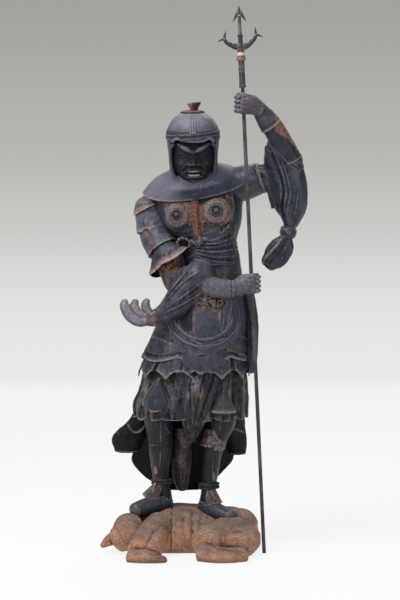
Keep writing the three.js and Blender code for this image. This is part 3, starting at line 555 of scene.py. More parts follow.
def cut_or_joined(first, others, operation):
    """The first object joined with the others, or cut by them, as one closed mesh. The others are removed."""
    if not others:
        return first
    group = bpy.data.collections.new("tools")
    bpy.context.scene.collection.children.link(group)
    for other in others:
        bpy.context.scene.collection.objects.unlink(other)
        group.objects.link(other)
    step = first.modifiers.new("join", "BOOLEAN")
    step.operation, step.solver = operation, "MANIFOLD"
    step.operand_type, step.collection = "COLLECTION", group
    ready = bpy.context.evaluated_depsgraph_get()
    made = bpy.data.meshes.new_from_object(first.evaluated_get(ready))
    old = first.data
    first.modifiers.clear()
    first.data = made
    made.name = first.name
    bpy.data.meshes.remove(old)
    for other in others:
        mesh = other.data
        bpy.data.objects.remove(other)
        bpy.data.meshes.remove(mesh)
    bpy.data.collections.remove(group)
    if len(made.polygons) < 10:
        raise RuntimeError(f"{first.name} came out of its join with almost nothing left")
    return first


def flatten(parts):
    for part in parts:
        if isinstance(part, (list, tuple)):
            yield from flatten(part)
        else:
            yield part


def joined(name, parts, cuts=()):
    """One closed object from skins and objects, less the cuts."""
    objects = [p if isinstance(p, bpy.types.Object) else mesh_object(name, p) for p in flatten(parts)]
    piece = cut_or_joined(objects[0], objects[1:], "UNION")
    cutters = [c if isinstance(c, bpy.types.Object) else mesh_object("cut", c) for c in flatten(cuts)]
    piece = cut_or_joined(piece, cutters, "DIFFERENCE")
    piece.name = piece.data.name = name
    return piece


def neighbour_mean(values, edges, count):
    """The mean of each point's neighbours."""
    a, b = edges[:, 0], edges[:, 1]
    many = np.bincount(a, minlength=count) + np.bincount(b, minlength=count)
    out = np.empty_like(values)
    for k in range(values.shape[1]):
        total = np.bincount(a, values[b, k], count) + np.bincount(b, values[a, k], count)
        out[:, k] = total / np.maximum(many, 1)
    return out


def read_skin(mesh):
    """The mesh's points, its edges as pairs of points, and its normals."""
    count = len(mesh.vertices)
    points = np.empty(count * 3, np.float32)
    mesh.vertices.foreach_get("co", points)
    edges = np.empty(len(mesh.edges) * 2, np.int32)
    mesh.edges.foreach_get("vertices", edges)
    normals = np.empty(count * 3, np.float32)
    mesh.vertex_normals.foreach_get("vector", normals)
    return points.reshape(-1, 3).astype(float), edges.reshape(-1, 2), normals.reshape(-1, 3).astype(float)


def read_masks(mesh, attribute):
    values = np.empty(len(mesh.vertices) * 4, np.float32)
    mesh.attributes[attribute].data.foreach_get("color", values)
    return values.reshape(-1, 4)


def write_masks(mesh, attribute, masks):
    mesh.attributes[attribute].data.foreach_set("color", np.clip(masks, 0, 1).reshape(-1))


def shade_hollows_and_mark_edges(piece, near=6, far=26):
    """Writes painted shade into hollows, and the edge mask: how far each point stands below or above the same
    skin, in millimetres, when it is smoothed near times and when it is smoothed far times."""
    mesh = piece.data
    points, edges, normals = read_skin(mesh)
    smooth = points
    heights = []
    for k in range(far):
        smooth = 0.5 * smooth + 0.5 * neighbour_mean(smooth, edges, len(points))
        if k + 1 in (near, far):
            heights.append(((points - smooth) * normals).sum(1) * 1000)
    small, large = heights
    small = neighbour_mean(small[:, None], edges, len(points))[:, 0] * 0.5 + small * 0.5
    masks = read_masks(mesh, "wear")
    shade_and_grime, edge = WEAR_AND_SHADE.index("shade_and_grime"), WEAR_AND_SHADE.index("edge")
    # Painted shade: points below their smoothed skin are darkened, more the deeper they lie.
    hollow = np.clip(-small / 0.3, 0, 1) * 0.65 + np.clip(-large / 1.3, 0, 1) * 0.7
    masks[:, shade_and_grime] = np.maximum(masks[:, shade_and_grime], hollow)
    masks[:, edge] = np.clip(small / 0.35, 0, 1) * 0.7 + np.clip(large / 1.6, 0, 1) * 0.4
    write_masks(mesh, "wear", masks)


SHARP_ANGLE = 38.0  # degrees between two faces, past which their edge is left sharp


def finished(piece, node, material):
    """The piece set on its body and in place of its node, shaded smooth but for its sharp edges."""
    piece.data.materials.clear()
    piece.data.materials.append(material)
    piece.data.shade_smooth()
    piece.data.set_sharp_from_angle(angle=np.radians(SHARP_ANGLE))
    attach(piece, "root")
    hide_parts(node)
    return piece


# The guardian


def surface(rows, points, proud=0.0):
    """The [x, z] points as [x, y, z] points on the front of a level body, with rows as limb() takes them. The
    depth is the middle's less the oval's half-depth there, deep * sqrt(1 - ((x - middle) / across)^2)."""
    table = smooth_line(np.asarray(rows, float), np.linspace(0, 1, 400))
    out = []
    for x, z in points:
        middle, depth, _, across, deep = table[np.abs(table[:, 2] - z).argmin()]
        out.append((x, depth - deep * np.sqrt(max(0.0, 1 - ((x - middle) / across) ** 2)) - proud, z))
    return out


def rosette(space, place, radius, petals=8):
    """A petalled flower boss with two raised rings and a knob."""
    x, y, z = place

    def rings(s):
        far = np.hypot(s.x - x, s.z - z) / radius
        ring = bell(far - 0.72, 0.1) + bell(far - 0.4, 0.09)
        return 0.9 * ring * (0.75 + 0.25 * np.cos(petals * s.angle + 9 * far))

    def tint(s):
        far = np.hypot(s.x - x, s.z - z) / radius
        return {
            "worn": 0.2, "blue": 0.3, "gilt": 0.25 * s.mottle(0.5, 9),
            "shade_and_grime": 0.8 * bell(far - 0.56, 0.09)}

    return [
        boss(
            space, place, radius, 0.3, swell=lambda s: 1 + 0.07 * np.cos(petals * s.angle), carve=rings,
            paint=tint, fine=2.6, rough=0.1),
        boss(space, (x, y - 0.2, z), radius * 0.24, 0.25, paint={"worn": 0.3, "gilt": 0.3}, fine=2)]


CROWN_RISE = [(2.2, -1.2, CROWN_LEVEL, 2.9, 3.3), (2.2, -1.2, 97.6, 4.9, 5.6), (2.2, -1.2, 95.3, 6.25, 7.1),
              (2.2, -1.2, 92.4, 6.5, 7.4), (2.2, -1.1, 88.5, 6.1, 6.9), (2.2, -0.9, 85, 5.9, 6.6),
              (2.3, -0.7, 82, 5.1, 6.3), (2.3, -0.6, 80, 3.6, 5.6)]


def helmet():
    """A smooth iron-like bowl with three thin ridges, a double band and a rolled rim round the opening."""
    space = head_frame()

    # Painted highlight as sheen: the crown is paler towards its top and towards the figure's right, where the
    # light falls, over a faint even pale haze.
    def painted_sheen(s):
        cap = soft_step(93.4, 94.6, s.z) * (0.3 + 0.35 * soft_step(95, 99, s.z))
        return {
            "blue": 0.9,
            "bloom_and_highlight": cap * (0.7 + 0.3 * s.mottle(2.5, 8, -0.6, 0.6)) * soft_step(14, 4, s.x) + 0.06,
            "worn": 0.1 * s.mottle(1.5, 7, 0.5, 1)}

    dome = limb(space, CROWN_RISE, level=True, paint=painted_sheen, rough=0.12, fine=1.3)

    def two_lines(s):
        tilt = 0.07 * (s.x - 2.2)
        return bell(s.z - 94.3 - tilt, 0.17) + 0.9 * bell(s.z - 93.4 - tilt, 0.17) - 0.4

    band = limb(
        space, [(2.2, -1.2, 95.0, 6.5, 7.38), (2.2, -1.2, 94.2, 6.68, 7.54), (2.2, -1.2, 92.6, 6.75, 7.65)],
        level=True, carve=two_lines, fine=3.2, rough=0.1,
        paint=lambda s: {
            "blue": 0.9, "bloom_and_highlight": 0.65 * np.clip(two_lines(s), 0, 1) * s.mottle(2, 11, -0.9, 0.1)})
    # The cutter's faces line the opening round the face and are painted dark there as shade.
    opening = limb(
        space, [(2.1, -8.4, 93.0, 6.4, 5.5), (2.1, -8.4, 91.6, 6.8, 6.2), (2.1, -8.4, 87, 6.7, 6.2),
                (2.2, -8.4, 84, 5.9, 5.9), (2.3, -8.4, 81.4, 3.8, 5.2)],
        level=True, rough=0, paint={"shade_and_grime": 0.8}, fine=1.3)
    shell = cut_or_joined(
        cut_or_joined(mesh_object("shell", dome), [mesh_object("band", band)], "UNION"),
        [mesh_object("opening", opening)], "DIFFERENCE")
    rim_line = [(-2.4, -6.5, 92.1), (-3.3, -4.9, 90.4), (-3.3, -4.6, 87), (-2.6, -4.8, 83.9),
                (-0.5, -6.1, 81.8), (2.2, -6.8, 81), (4.9, -6.1, 81.8), (6.9, -4.9, 83.9), (7.6, -4.6, 87),
                (7.6, -4.9, 90.4), (6.7, -6.5, 92.1)]
    rim = cord(
        space, rim_line, 0.45, carve=lambda s: -0.6 * s.turn(-60, 14), fine=2.2, rough=0.1,
        paint={"blue": 0.8})
    brow = cord(
        space, [(-3.0, -6.3, 92.5), (-1.8, -7.1, 93.2), (0, -7.9, 92.95), (2.2, -8.3, 92.7),
                (4.4, -7.9, 92.7), (6.3, -7.1, 93.2), (7.3, -6.2, 92.4)],
        0.4, fine=2.2, rough=0.1, paint={"blue": 1, "bloom_and_highlight": 0.2})
    ridges = []
    for aside, thick in ((-0.5, 0.12), (0.0, 0.16), (0.5, 0.12)):
        path = [(2.2 + aside * (1.15 - 0.05 * (z - 93)), z) for z in (94.9, 95.8, 96.8, 97.8, 98.6)]
        ridges.append(cord(
            space, surface(CROWN_RISE, path), thick, fine=2.2, rough=0.08,
            paint={"blue": 0.9, "bloom_and_highlight": 0.75}))
    dots = [boss(space, (x, -8.6, 94.75), 0.24, 0.25, fine=2, paint={"bloom_and_highlight": 0.9}) for x in (1.7, 2.25, 2.8)]
    return [shell, rim, brow, ridges, dots]


def face():
    """A fierce guardian's face of plain invention: knitted brows over round eyes, a broad nose, drawn-up
    cheeks and a snarling mouth with two rows of teeth. The relief is a sum of bells along drawn strokes."""
    space, middle = head_frame(), 2.3

    def mouth_ring(s):
        return np.hypot(
            (s.x - middle) / (2.1 - 0.12 * (s.z - 84.7)), (s.z - 84.75 + 0.05 * (s.x - middle) ** 2) / 0.95)

    def relief(s):
        both = s.folded(middle)
        ring = mouth_ring(s)
        raised = 4.6 * both.stroke([(2.75, 90.0), (4.1, 90.75), (6.2, 91.8)], 0.62, 0.4)
        raised += 1.2 * both.stroke([(2.7, 91.2), (4.1, 91.7), (5.6, 92.5)], 0.3)
        raised += 2.6 * s.patch(middle, 90.0, 0.42, 0.7) - 2.4 * both.stroke([(2.72, 91), (2.66, 89.9)], 0.15)
        raised -= 3.8 * both.patch(4.3, 88.85, 1.35, 0.72)
        raised += 4.6 * both.patch(4.35, 88.95, 0.72, 0.5)
        raised += 1.8 * both.stroke([(3.1, 88.75), (4.2, 89.62), (5.7, 89.5)], 0.2)
        raised += 1.5 * both.stroke([(3.1, 88.6), (4.4, 88.2), (5.6, 88.95)], 0.2)
        raised += 4.2 * s.stroke([(middle, 89.7), (middle, 88.4), (middle, 87.1)], 0.55)
        raised += 6.8 * s.patch(middle, 86.95, 0.72, 0.62) + 4.6 * both.patch(3.3, 86.75, 0.5, 0.42)
        raised -= 3.0 * both.patch(2.78, 86.38, 0.26, 0.17)
        raised += 4.2 * both.patch(5.3, 87.2, 1.05, 0.85)
        raised += 2.3 * both.stroke([(3.6, 87.2), (4.9, 86.1), (5.2, 84.2)], 0.34, 0.5)
        raised -= 1.4 * both.stroke([(3.9, 86.5), (5.0, 85.3)], 0.2)
        raised -= 9.0 * (1 - soft_step(0.72, 1.02, ring)) * s.front
        raised += 2.4 * bell(ring - 1.2, 0.2) * s.front
        raised += (4.2 * s.patch(middle, 82.6, 1.15, 0.75)
                   - 1.4 * s.stroke([(1.2, 83.45), (middle, 83.3), (3.4, 83.45)], 0.22))
        return raised

    # Painted light: paler brows and cheeks as painted highlight, and painted shade over the rest of the face,
    # deepest in the mouth and beside the eyes; the eyes a little paler.
    def tint(s):
        both = s.folded(middle)
        pale = (0.55 * both.stroke([(2.9, 90.0), (4.1, 90.75), (6.0, 91.7)], 0.5, 0.4)
                + 0.3 * both.patch(5.2, 87.2, 0.9, 0.7))
        eye = np.maximum(1 - np.hypot((both.x - 4.35) / 0.62, (s.z - 88.95) / 0.34), 0) > 0.05
        return {
            "blue": 0.5, "bloom_and_highlight": pale * 0.22 + 0.1 * eye * s.front,
            "shade_and_grime": np.maximum(
                0.62 - 0.5 * pale,
                (1 - soft_step(0.7, 1.0, mouth_ring(s))) * s.front + 0.5 * both.patch(3.4, 88.5, 0.4, 0.5))}

    head = limb(
        space, [(middle, -3.2, 93, 4.6, 3.6), (middle, -3.3, 90.6, 5.0, 4.2), (middle, -3.4, 87.6, 5.0, 4.3),
                (middle, -3.6, 84.8, 4.3, 4.0), (middle, -4.0, 82.6, 2.7, 3.1)],
        level=True, ends=(0, 0.35), carve=relief, paint=tint, fine=1.9, dense=0.45, rough=0.12)

    def teeth_in(rise, dip, height, count):
        rows = [
            (middle + x, y, rise + dip * (abs(x) < 1), height * k, 0.35)
            for x, y, k in ((-1.55, -6.4, 0.8), (-0.8, -6.95, 1), (0, -7.1, 1), (0.8, -6.95, 1),
                            (1.55, -6.4, 0.8))]
        return limb(
            space, rows, ends=(0.5, 0.5), fine=2.8, rough=0.05,
            paint={"bloom_and_highlight": 0.4, "line": 0.4, "rust": 0.15},
            carve=lambda s: 0.9 * (np.abs(np.cos((s.x - middle) * np.pi * count / 3.4)) - 0.5))

    gums = limb(
        space, [(middle - 1.6, -6.0, 84.7, 0.9, 0.5), (middle + 1.6, -6.0, 84.7, 0.9, 0.5)],
        paint={"rust": 0.4, "shade_and_grime": 0.6})
    brows = [
        limb(
            space, [(middle + side * 0.5, -7.5, 90.0, 0.35, 0.45),
                    (middle + side * 2, -7.45, 90.8, 0.5, 0.5),
                    (middle + side * 3.8, -6.1, 91.8, 0.3, 0.35)],
            ends=(0.5, 0.5), fine=1.6, paint={"bloom_and_highlight": 0.08, "blue": 0.6}) for side in (-1, 1)]
    return [head, teeth_in(85.15, 0.08, 0.28, 8), teeth_in(84.25, -0.1, 0.26, 8), gums, brows]


PLATE_LEFT = [(-5.4, 76.4), (-2.4, 77.0), (1.6, 76.4), (2.0, 73.0), (2.0, 70.2), (-0.6, 68.9), (-3.1, 69.2),
              (-4.6, 73.0)]
PLATE_RIGHT = [(3.4, 75.6), (6.7, 77.2), (11.2, 78.8), (11.9, 74.4), (10.8, 71.3), (7.4, 69.1), (4.5, 69.1),
               (3.4, 71.8)]
CHEST_RISE = [(2.9, 0.9, 84, 5.4, 5.4), (3.0, 0.5, 80, 11.0, 7.0), (3.2, -0.3, 75, 11.1, 7.6),
              (3.7, -0.5, 71, 10.2, 7.3), (5.1, -0.5, 67, 7.8, 6.9), (6.2, -0.7, 63, 7.5, 6.9),
              (6.2, -0.9, 59, 8.0, 7.5), (5.8, -0.6, 54.5, 9.2, 8.3)]
PLATE_EDGES = [[(-4.6, 74.8), (-4.4, 71.6), (-2.8, 69.7), (-0.4, 69.4), (1.8, 70.0)],
               [(3.6, 69.9), (7.2, 70.0), (9.8, 71.4), (11.4, 74.6)]]


def gilding(s):
    """The gilt of the two breastplates: kept above a ragged line, rubbed to patches below it."""
    plates = np.maximum(s.inside(PLATE_LEFT, 0.12), s.inside(PLATE_RIGHT, 0.12))
    speckle = s.bumps(1.1, 21)
    kept = soft_step(71.2, 71.9, s.z + 0.6 * speckle + 0.5 * s.bumps(0.6, 22, 0.3))
    kept = kept * (1 - 0.7 * s.mottle(1.3, 23, 0.1, 0.7)) * (1 - 0.75 * s.mottle(0.7, 25, -0.1, 0.5))
    kept = kept * (1 - 0.85 * s.patch(-2.1, 73.2, 2.7, 2.1)) * (1 - 0.8 * s.patch(7.65, 74.3, 2.5, 2.1))
    dots = s.lines(PLATE_EDGES, 0.2, 0) * s.mottle(0.5, 24, 0.1, 0.5)
    return np.clip(plates * np.maximum(kept, s.mottle(1.1, 21, 0.6, 0.85) * 0.6) + dots, 0, 1)


def trunk():
    """The chest with its gilt breastplates, the dipped shoulder cape, and the sash whose folds fan from a
    knot."""
    space, cape_space = figure_frame(), collar_frame()

    def chest_lines(s):
        hole = s.stroke([(11.6, 79), (12.1, 75), (11.0, 71), (8.0, 68.3)], 0.35)
        return 1.6 * hole + 1.2 * s.stroke([(-5.0, 72), (-3.4, 69.2), (-0.5, 68.2), (1.8, 68.6)], 0.3)

    def chest_paint(s):
        gold = gilding(s)
        strap = s.inside([(1.9, 76), (4.3, 76), (4.4, 67.2), (2.1, 67.2)], 0.1)
        seams = s.stroke([(11.4, 79), (11.9, 75), (10.8, 71), (8.0, 68.5), (5.4, 67.6)], 0.15)
        sides = s.inside([(8.6, 71), (13.5, 73), (14, 64), (12.4, 64)], 0.4) * s.mottle(2, 31, 0.1, 0.7)
        belly = s.inside([(8, 60.5), (15, 60.5), (15, 56), (8, 56)], 0.5) * s.mottle(2, 34, -0.2, 0.6)
        return {
            "gilt": gold, "rust": 0.6 * strap * (1 - gold) + 0.3 * sides + 0.2 * belly, "blue": 0.6,
            "line": 0.6 * seams * s.mottle(1.2, 32, -0.2, 0.6), "worn": 0.4 * sides + 0.3 * belly}

    chest = limb(space, CHEST_RISE, level=True, carve=chest_lines, paint=chest_paint, fine=1.35, dense=0.3)
    collar = limb(
        cape_space, [(0, 0.6, 3.4, 5.4, 4.6), (0, -0.15, 2.0, 8.8, 6.8), (-0.1, 0, 0.7, 11.6, 7.8),
                     (-0.2, -0.2, -0.8, 13.4, 8.4)],
        level=True, fine=1.2, rough=0.15, hem=lambda s: 2.6 * np.maximum(0, np.sin(s.angle)), trim=0.1,
        carve=lambda s: 0.25 * s.rim(0.3, 0.16) - 0.25 * s.rim(0.6, 0.1),
        # Painted highlight towards the figure's right, where the light falls, and painted shade over the
        # front.
        paint=lambda s: {
            "blue": 1, "bloom_and_highlight": 0.38 * soft_step(0, -9, s.x + 2 * s.bumps(5, 33)),
            "shade_and_grime": 0.35 * s.turn(-80, 50), "worn": 0.3 * s.rim(0.1, 0.25),
            "rust": 0.25 * s.rim(0.1, 0.2) * (s.x < -4)})
    plates = []
    for x, z, size in ((-1.9, 73.0, 3.7), (7.6, 74.2, 4.0)):
        plates.append(limb(
            space, [(x, -5.2, z, size, size), (x, -7.2, z, size * 0.93, size * 0.92),
                    (x, -8.1, z, size * 0.72, size * 0.7)],
            ends=(0, 0.2), facing=True, fine=1.9,
            paint=lambda s: {"gilt": gilding(s), "blue": 0.7, "worn": 0.15 * (1 - gilding(s))}))
    flowers = [
        rosette(space, (-2.1, -8.6, 73.6), 1.6, 10), rosette(space, (7.65, -8.7, 74.7), 1.7, 9),
        rosette(space, (2.6, -8.75, 78.1), 0.7, 8)]
    strap = cord(
        space, [(2.5, -7.7, 77), (2.8, -7.9, 71), (3.6, -7.4, 66)], 0.9, fine=2,
        carve=lambda s: -0.7 * (s.turn(-60, 9) + s.turn(-120, 9) + 0.6 * s.turn(-90, 6)),
        paint=lambda s: {
            "rust": 0.5, "gilt": 0.4 * s.mottle(0.9, 36, -0.2, 0.6), "worn": 0.2,
            "shade_and_grime": 0.5 * (s.turn(-60, 9) + s.turn(-120, 9)) + 0.5 * soft_step(70, 67, s.z)})
    tie = [
        limb(
            space, [(1.2, -7.9, 66.9, 0.5, 0.6), (2.6, -8.1, 66.6, 0.7, 0.7), (4.0, -8.1, 67.0, 0.7, 0.7),
                    (5.6, -7.7, 67.6, 0.5, 0.6)],
            ends=(0.6, 0.6), fine=2, paint={"worn": 0.2, "blue": 0.7},
            carve=lambda s: 0.8 * np.cos(4.2 * s.x + 2 * s.angle)),
        limb(
            space, [(3.5, -8.0, 68.3, 0.35, 0.45), (3.7, -8.3, 66.9, 0.7, 0.8), (3.3, -7.9, 65.6, 0.5, 0.6)],
            ends=(0.5, 0.5), fine=2, paint={"worn": 0.25, "blue": 0.6}, rough=0.4)]
    ruff = cord(
        space, [(-1.7, -7.8, 66.0), (-1.8, -7.8, 66.9), (-0.9, -8.1, 67.7), (0.4, -8.1, 67.5),
                (1.2, -7.9, 66.6), (0.9, -7.7, 65.6)],
        0.3, fine=2, ends=(0.5, 0.5), carve=lambda s: 0.6 * np.cos(7 * s.run),
        paint=lambda s: {
            "gilt": 0.3 * (s.z > 66.6) * s.mottle(0.8, 38, -0.6, 0.3), "rust": 0.2, "blue": 0.6})
    # A dark disc behind the ruff, painted as the shade in its hole.
    painted_hole_shadow = limb(
        space, [(-0.3, -6.6, 66.4, 1.1, 0.7), (-0.3, -7.7, 66.4, 0.9, 0.6)], facing=True,
        paint={"shade_and_grime": 1.0})
    fans = [[(4.5, 67.0), (8, 67.7), (13.0, 70.2)], [(4.0, 66.3), (8.4, 66.6), (13.0, 68.6)],
            [(2.5, 65.6), (7.4, 65.5), (13.0, 66.9)], [(2.6, 64.9), (7.7, 64.4), (13.4, 65.2)],
            [(2.8, 64.1), (7.6, 63.1), (13.5, 63.4)], [(3.2, 63.2), (7.6, 62), (13.8, 61.8)],
            [(4.0, 62.4), (7.8, 61.0), (13.6, 60.2)], [(2.0, 65.2), (0.2, 64.4), (-1.5, 62.8)],
            [(2.2, 63.8), (0.4, 62.6), (-1.2, 61.0)]]

    def sash_paint(s):
        return {
            "blue": 0.85, "line": 0.22 * np.clip(s.lines(fans, 0.14), 0, 1) * s.mottle(2, 37, -0.3, 0.7),
            "rust": 0.35 * s.inside([(10.5, 73), (14.5, 73), (14, 67.5), (11.5, 67)], 0.4)
                * s.mottle(1.2, 39, 0, 0.7)}

    sash = limb(
        space,
        [
            (5.9, -0.8, z, 7.15 + 0.1 * k, 7.3 + 0.1 * k)
            for k, z in enumerate((66.6, 65.6, 64.4, 63.4, 62.2, 61.2))],
        level=True, fine=1.7, dense=0.2,
        carve=lambda s: 1.3 * s.lines(fans, 0.26) - 0.5
            + 1.1 * (1 - s.front) * fold(2 * np.pi * s.run / 1.25 + 2 * np.sin(s.angle)),
        paint=sash_paint)
    upper_sash = limb(
        space, [(4.8, -0.5, 70.6, 8.6, 7.0), (5.2, -0.6, 69, 7.9, 7.0), (5.6, -0.75, 66.8, 7.3, 7.15)],
        level=True, fine=1.6, carve=lambda s: 1.1 * s.lines(fans[:3], 0.26) - 0.4 * s.front,
        paint=sash_paint)
    back_seam = limb(space, [(3.2, 7.0, 78, 0.5, 0.5), (3.6, 6.8, 70, 0.5, 0.5), (4.6, 6.3, 67, 0.5, 0.5)])
    return [chest, collar, plates, flowers, strap, tie, ruff, painted_hole_shadow, sash, upper_sash, back_seam]


APRON_RISE = [(5.5, -1.6, 54, 9.2, 8.6), (5.2, -1.7, 48.5, 10.2, 9.7), (4.7, -1.8, 44, 9.9, 10.3),
              (4.5, -1.9, 42, 8.6, 10.6), (4.4, -2, 40.6, 7.2, 10.7), (4.3, -2, 39.5, 4.4, 10.8)]


def petals(count, reach, phase=0.0):
    """A hem of count round lobes that hang down: reach * |cos(count * angle / 2 + phase)|."""
    return lambda s: reach * np.abs(np.cos(count * s.angle / 2 + phase))


def skirts():
    """The armour's skirts: tassets with lobed hems, an apron with a double border, a carved belt mask, a row
    of pointed petals and a fluted over-skirt with a ragged hem."""
    space = figure_frame()
    belt = limb(
        space, [(5.8, -0.6, 55.4, 9.4, 8.8), (5.7, -0.6, 53.4, 9.6, 9.0)], level=True, fine=1.4,
        carve=lambda s: 0.9 * np.cos(2 * np.pi * s.run / 0.9), paint={"worn": 0.3, "blue": 0.4, "rust": 0.2})

    def scrolls(s):
        swirl = np.cos(2.9 * s.x + 1.7 * np.sin(2.1 * s.z)) * np.cos(3.1 * s.z + 1.5 * np.sin(1.9 * s.x + 1))
        return 2.3 * np.sign(swirl) * np.abs(swirl) ** 0.6

    mask = limb(
        space, [(5.5, -8, 52.1, 4.8, 4.0), (5.5, -9.4, 52.1, 4.6, 3.8), (5.5, -10.4, 52.2, 3.6, 3.0)],
        facing=True, ends=(0, 0.15), fine=2.3, carve=scrolls,
        paint=lambda s: {
            "worn": 0.3, "gilt": 0.3 * soft_step(0.6, 1, scrolls(s) / 2),
            "shade_and_grime": np.clip(0.6 - scrolls(s) / 3, 0.3, 1)})

    def curl(x, z, size):
        """A ring with a pit in it, as one curl of the mask."""
        def far(s):
            return np.hypot(s.x - x, s.z - z) / size
        return boss(
            space, (x, -10.3, z), size, 0.5, fine=2.6, rough=0.05,
            carve=lambda s: bell(far(s) - 0.7, 0.2) - 1.2 * bell(far(s), 0.4),
            paint=lambda s: {
                "worn": 0.55, "rust": 0.15, "gilt": 0.25 * bell(far(s) - 0.72, 0.15),
                "shade_and_grime": 0.2 + 0.8 * bell(far(s), 0.42)})

    curls = [(1.7, 54.2, 0.75), (1.9, 52.3, 0.75), (3.0, 50.2, 0.75), (5.2, 48.8, 0.75), (7.4, 49.0, 0.7),
             (2.7, 53.3, 0.8), (3.5, 51.6, 0.8), (4.6, 50.2, 0.75), (6.2, 49.6, 0.75), (7.6, 50.6, 0.75),
             (8.7, 52.0, 0.8), (9.4, 53.5, 0.7), (5.0, 52.0, 0.85), (6.9, 52.1, 0.85), (4.2, 53.7, 0.75),
             (5.9, 53.6, 0.8), (7.7, 53.8, 0.7)]
    knobs = [curl(x, z, size) for x, z, size in curls]
    seams = [[(-8.6, 43.4), (-5.3, 42.6), (-3.4, 41.8)], [(11.9, 44.2), (14, 43.4), (16.2, 42.6)],
             [(10.6, 40.6), (12.8, 39.5), (16, 38.2)]]

    def tasset_lines(s):
        return s.lines(seams, 0.3, 0) + 1.1 * s.rim(0.2, 0.3) - 0.8 * s.rim(1.0, 0.2) + 0.5 * s.bumps(5, 42)

    tassets = limb(
        space, [(5.6, 0, 55.5, 9.3, 8.3), (5.2, 0, 50.5, 10.7, 9.1), (4.1, 0, 44.6, 12.0, 9.8),
                (2.6, 0, 38.6, 13.5, 10.6)],
        level=True, hem=petals(6, 1.2, 1), carve=tasset_lines, trim=0.35, hollow=0.12, fine=1.15,
        paint=lambda s: {
            "line": 0.35 * s.lines(seams, 0.12, 0) * s.mottle(1.6, 40, -0.5, 0.4),
            "worn": 0.15 + 0.3 * s.mottle(3, 43, 0, 0.9), "blue": 0.95,
            "bloom_and_highlight": 0.1 * s.mottle(4, 44, -0.5, 0.8)})
    borders = [[(-3.6, 47.4), (-2.5, 44.7), (-0.4, 42.6), (3.8, 41.0), (7.3, 41.5), (9.7, 43.4)],
               [(-1.9, 47.1), (0.3, 44.3), (3.0, 42.4), (5.9, 41.9), (9.0, 43.2)]]
    drapes = [[(11.4, 52.5), (11.3, 49.5), (10.4, 46.1), (9.7, 44)],
              [(12.5, 53), (13.5, 48.5), (12.6, 44.4), (11.4, 41.9)], [(0.6, 53), (-1.2, 50), (-1.6, 47.2)],
              [(1.7, 52), (1.2, 48), (1.4, 44.8)], [(9.4, 52), (9.6, 48), (8.8, 44.4)]]

    def apron_lines(s):
        return (1.2 * s.lines(borders, 0.24, 0) + s.lines(drapes, 0.3)
                - 0.7 * s.stroke([(-3.0, 45.6), (-0.6, 43.0), (4, 41.6), (8.6, 42.6)], 0.2)
                + 0.5 * s.inside([(2.3, 51), (7.9, 51), (8.1, 42.4), (2.1, 42.4)]))

    def apron_paint(s):
        gold = (s.stroke([(2.2, 50.4), (2.2, 47.5), (2.1, 44.7)], 0.2, 0) * s.mottle(1.2, 45, -0.6, 0.3)
                + s.stroke([(8.5, 50.0), (8.5, 49), (8.4, 48.1)], 0.35))
        dark = s.inside([(-1.4, 53), (1.8, 53), (1.8, 45.0), (0.2, 45.2), (-1.6, 48)], 0.15)
        return {
            "blue": 1 - 0.8 * dark, "gilt": 0.8 * np.clip(gold, 0, 1), "shade_and_grime": 0.6 * dark, "bloom_and_highlight": 0.05,
            "line": 0.3 * s.lines(borders, 0.1, 0) * s.mottle(1.5, 46, -0.7, 0.2)
                + 0.14 * s.lines(drapes, 0.1)}

    apron = limb(
        space, APRON_RISE, level=True, carve=apron_lines, paint=apron_paint, trim=0.12, fine=1.6, dense=0.35)
    border = []
    for inset in (0.2, 1.9):
        wide, high = 9.4 - inset, 8.8 - inset
        arc = [(4.6 - wide * np.cos(a), 50 - high * np.sin(a)) for a in np.linspace(0.25, np.pi - 0.3, 11)]
        path = surface(APRON_RISE, arc, 0.05)
        border.append(cord(space, path, 0.36, fine=1.8, paint={"blue": 1}, rough=0.15))
    lower_apron = limb(
        space, [(4.2, -1.7, 41, 7.4, 10.5), (4.1, -1.7, 37.6, 7.6, 11.0), (3.8, -1.8, 35.4, 4.6, 11.0)],
        level=True, hem=lambda s: 0.7 * np.abs(np.cos(4.5 * s.angle + 0.6)), fine=1.6,
        carve=lambda s: 0.5 * np.cos(22 * s.angle) * s.front + 0.8 * s.rim(0.3, 0.25),
        paint=lambda s: {
            "blue": 1, "rust": 0.4 * s.patch(5.2, 38.8, 1.6, 0.2), "bloom_and_highlight": 0.04,
            "gilt": 0.75 * s.rim(0.15, 0.32) * s.mottle(0.9, 52, -0.4, 0.4)})
    small_petal = limb(
        space, [(-1.9, -9.2, 38.6, 0.9, 0.8), (-1.8, -9.5, 37.0, 1.2, 0.9), (-1.6, -9.6, 35.2, 0.9, 0.7)],
        level=True, ends=(0, 0.5), fine=2, trim=0.3, trim_width=0.3, paint={"blue": 1, "bloom_and_highlight": 0.12},
        carve=lambda s: 0.6 * s.turn(180, 25) + 0.6 * s.turn(0, 25))

    def pointed(s):
        return np.abs(np.sin(6 * s.angle))

    petal_row = limb(
        space, [(3.0, 0, 39.5, 12.0, 9.7), (2.2, 0, 35.4, 13.9, 10.5)], level=True, hollow=0.3, fine=1.3,
        hem=lambda s: 2.2 * (1 - pointed(s)), trim=0.35, trim_width=0.16,
        carve=lambda s: 1.5 * (1 - pointed(s)) - 0.7 + 0.5 * s.rim(0.6, 0.16) - 1.3 * (pointed(s) > 0.96),
        paint=lambda s: {
            "blue": 0.8, "worn": 0.1 + 0.4 * s.mottle(3, 47, 0, 0.8),
            "shade_and_grime": 0.6 * soft_step(0.9, 1, pointed(s)), "line": 0.16 * bell(pointed(s) - 0.9, 0.05)})

    def flute(s):
        return (1 + 0.03 * (0.3 + 0.7 * s.along) * np.cos(14 * s.angle)
                + 0.01 * s.along * np.cos(31 * s.angle + 1))

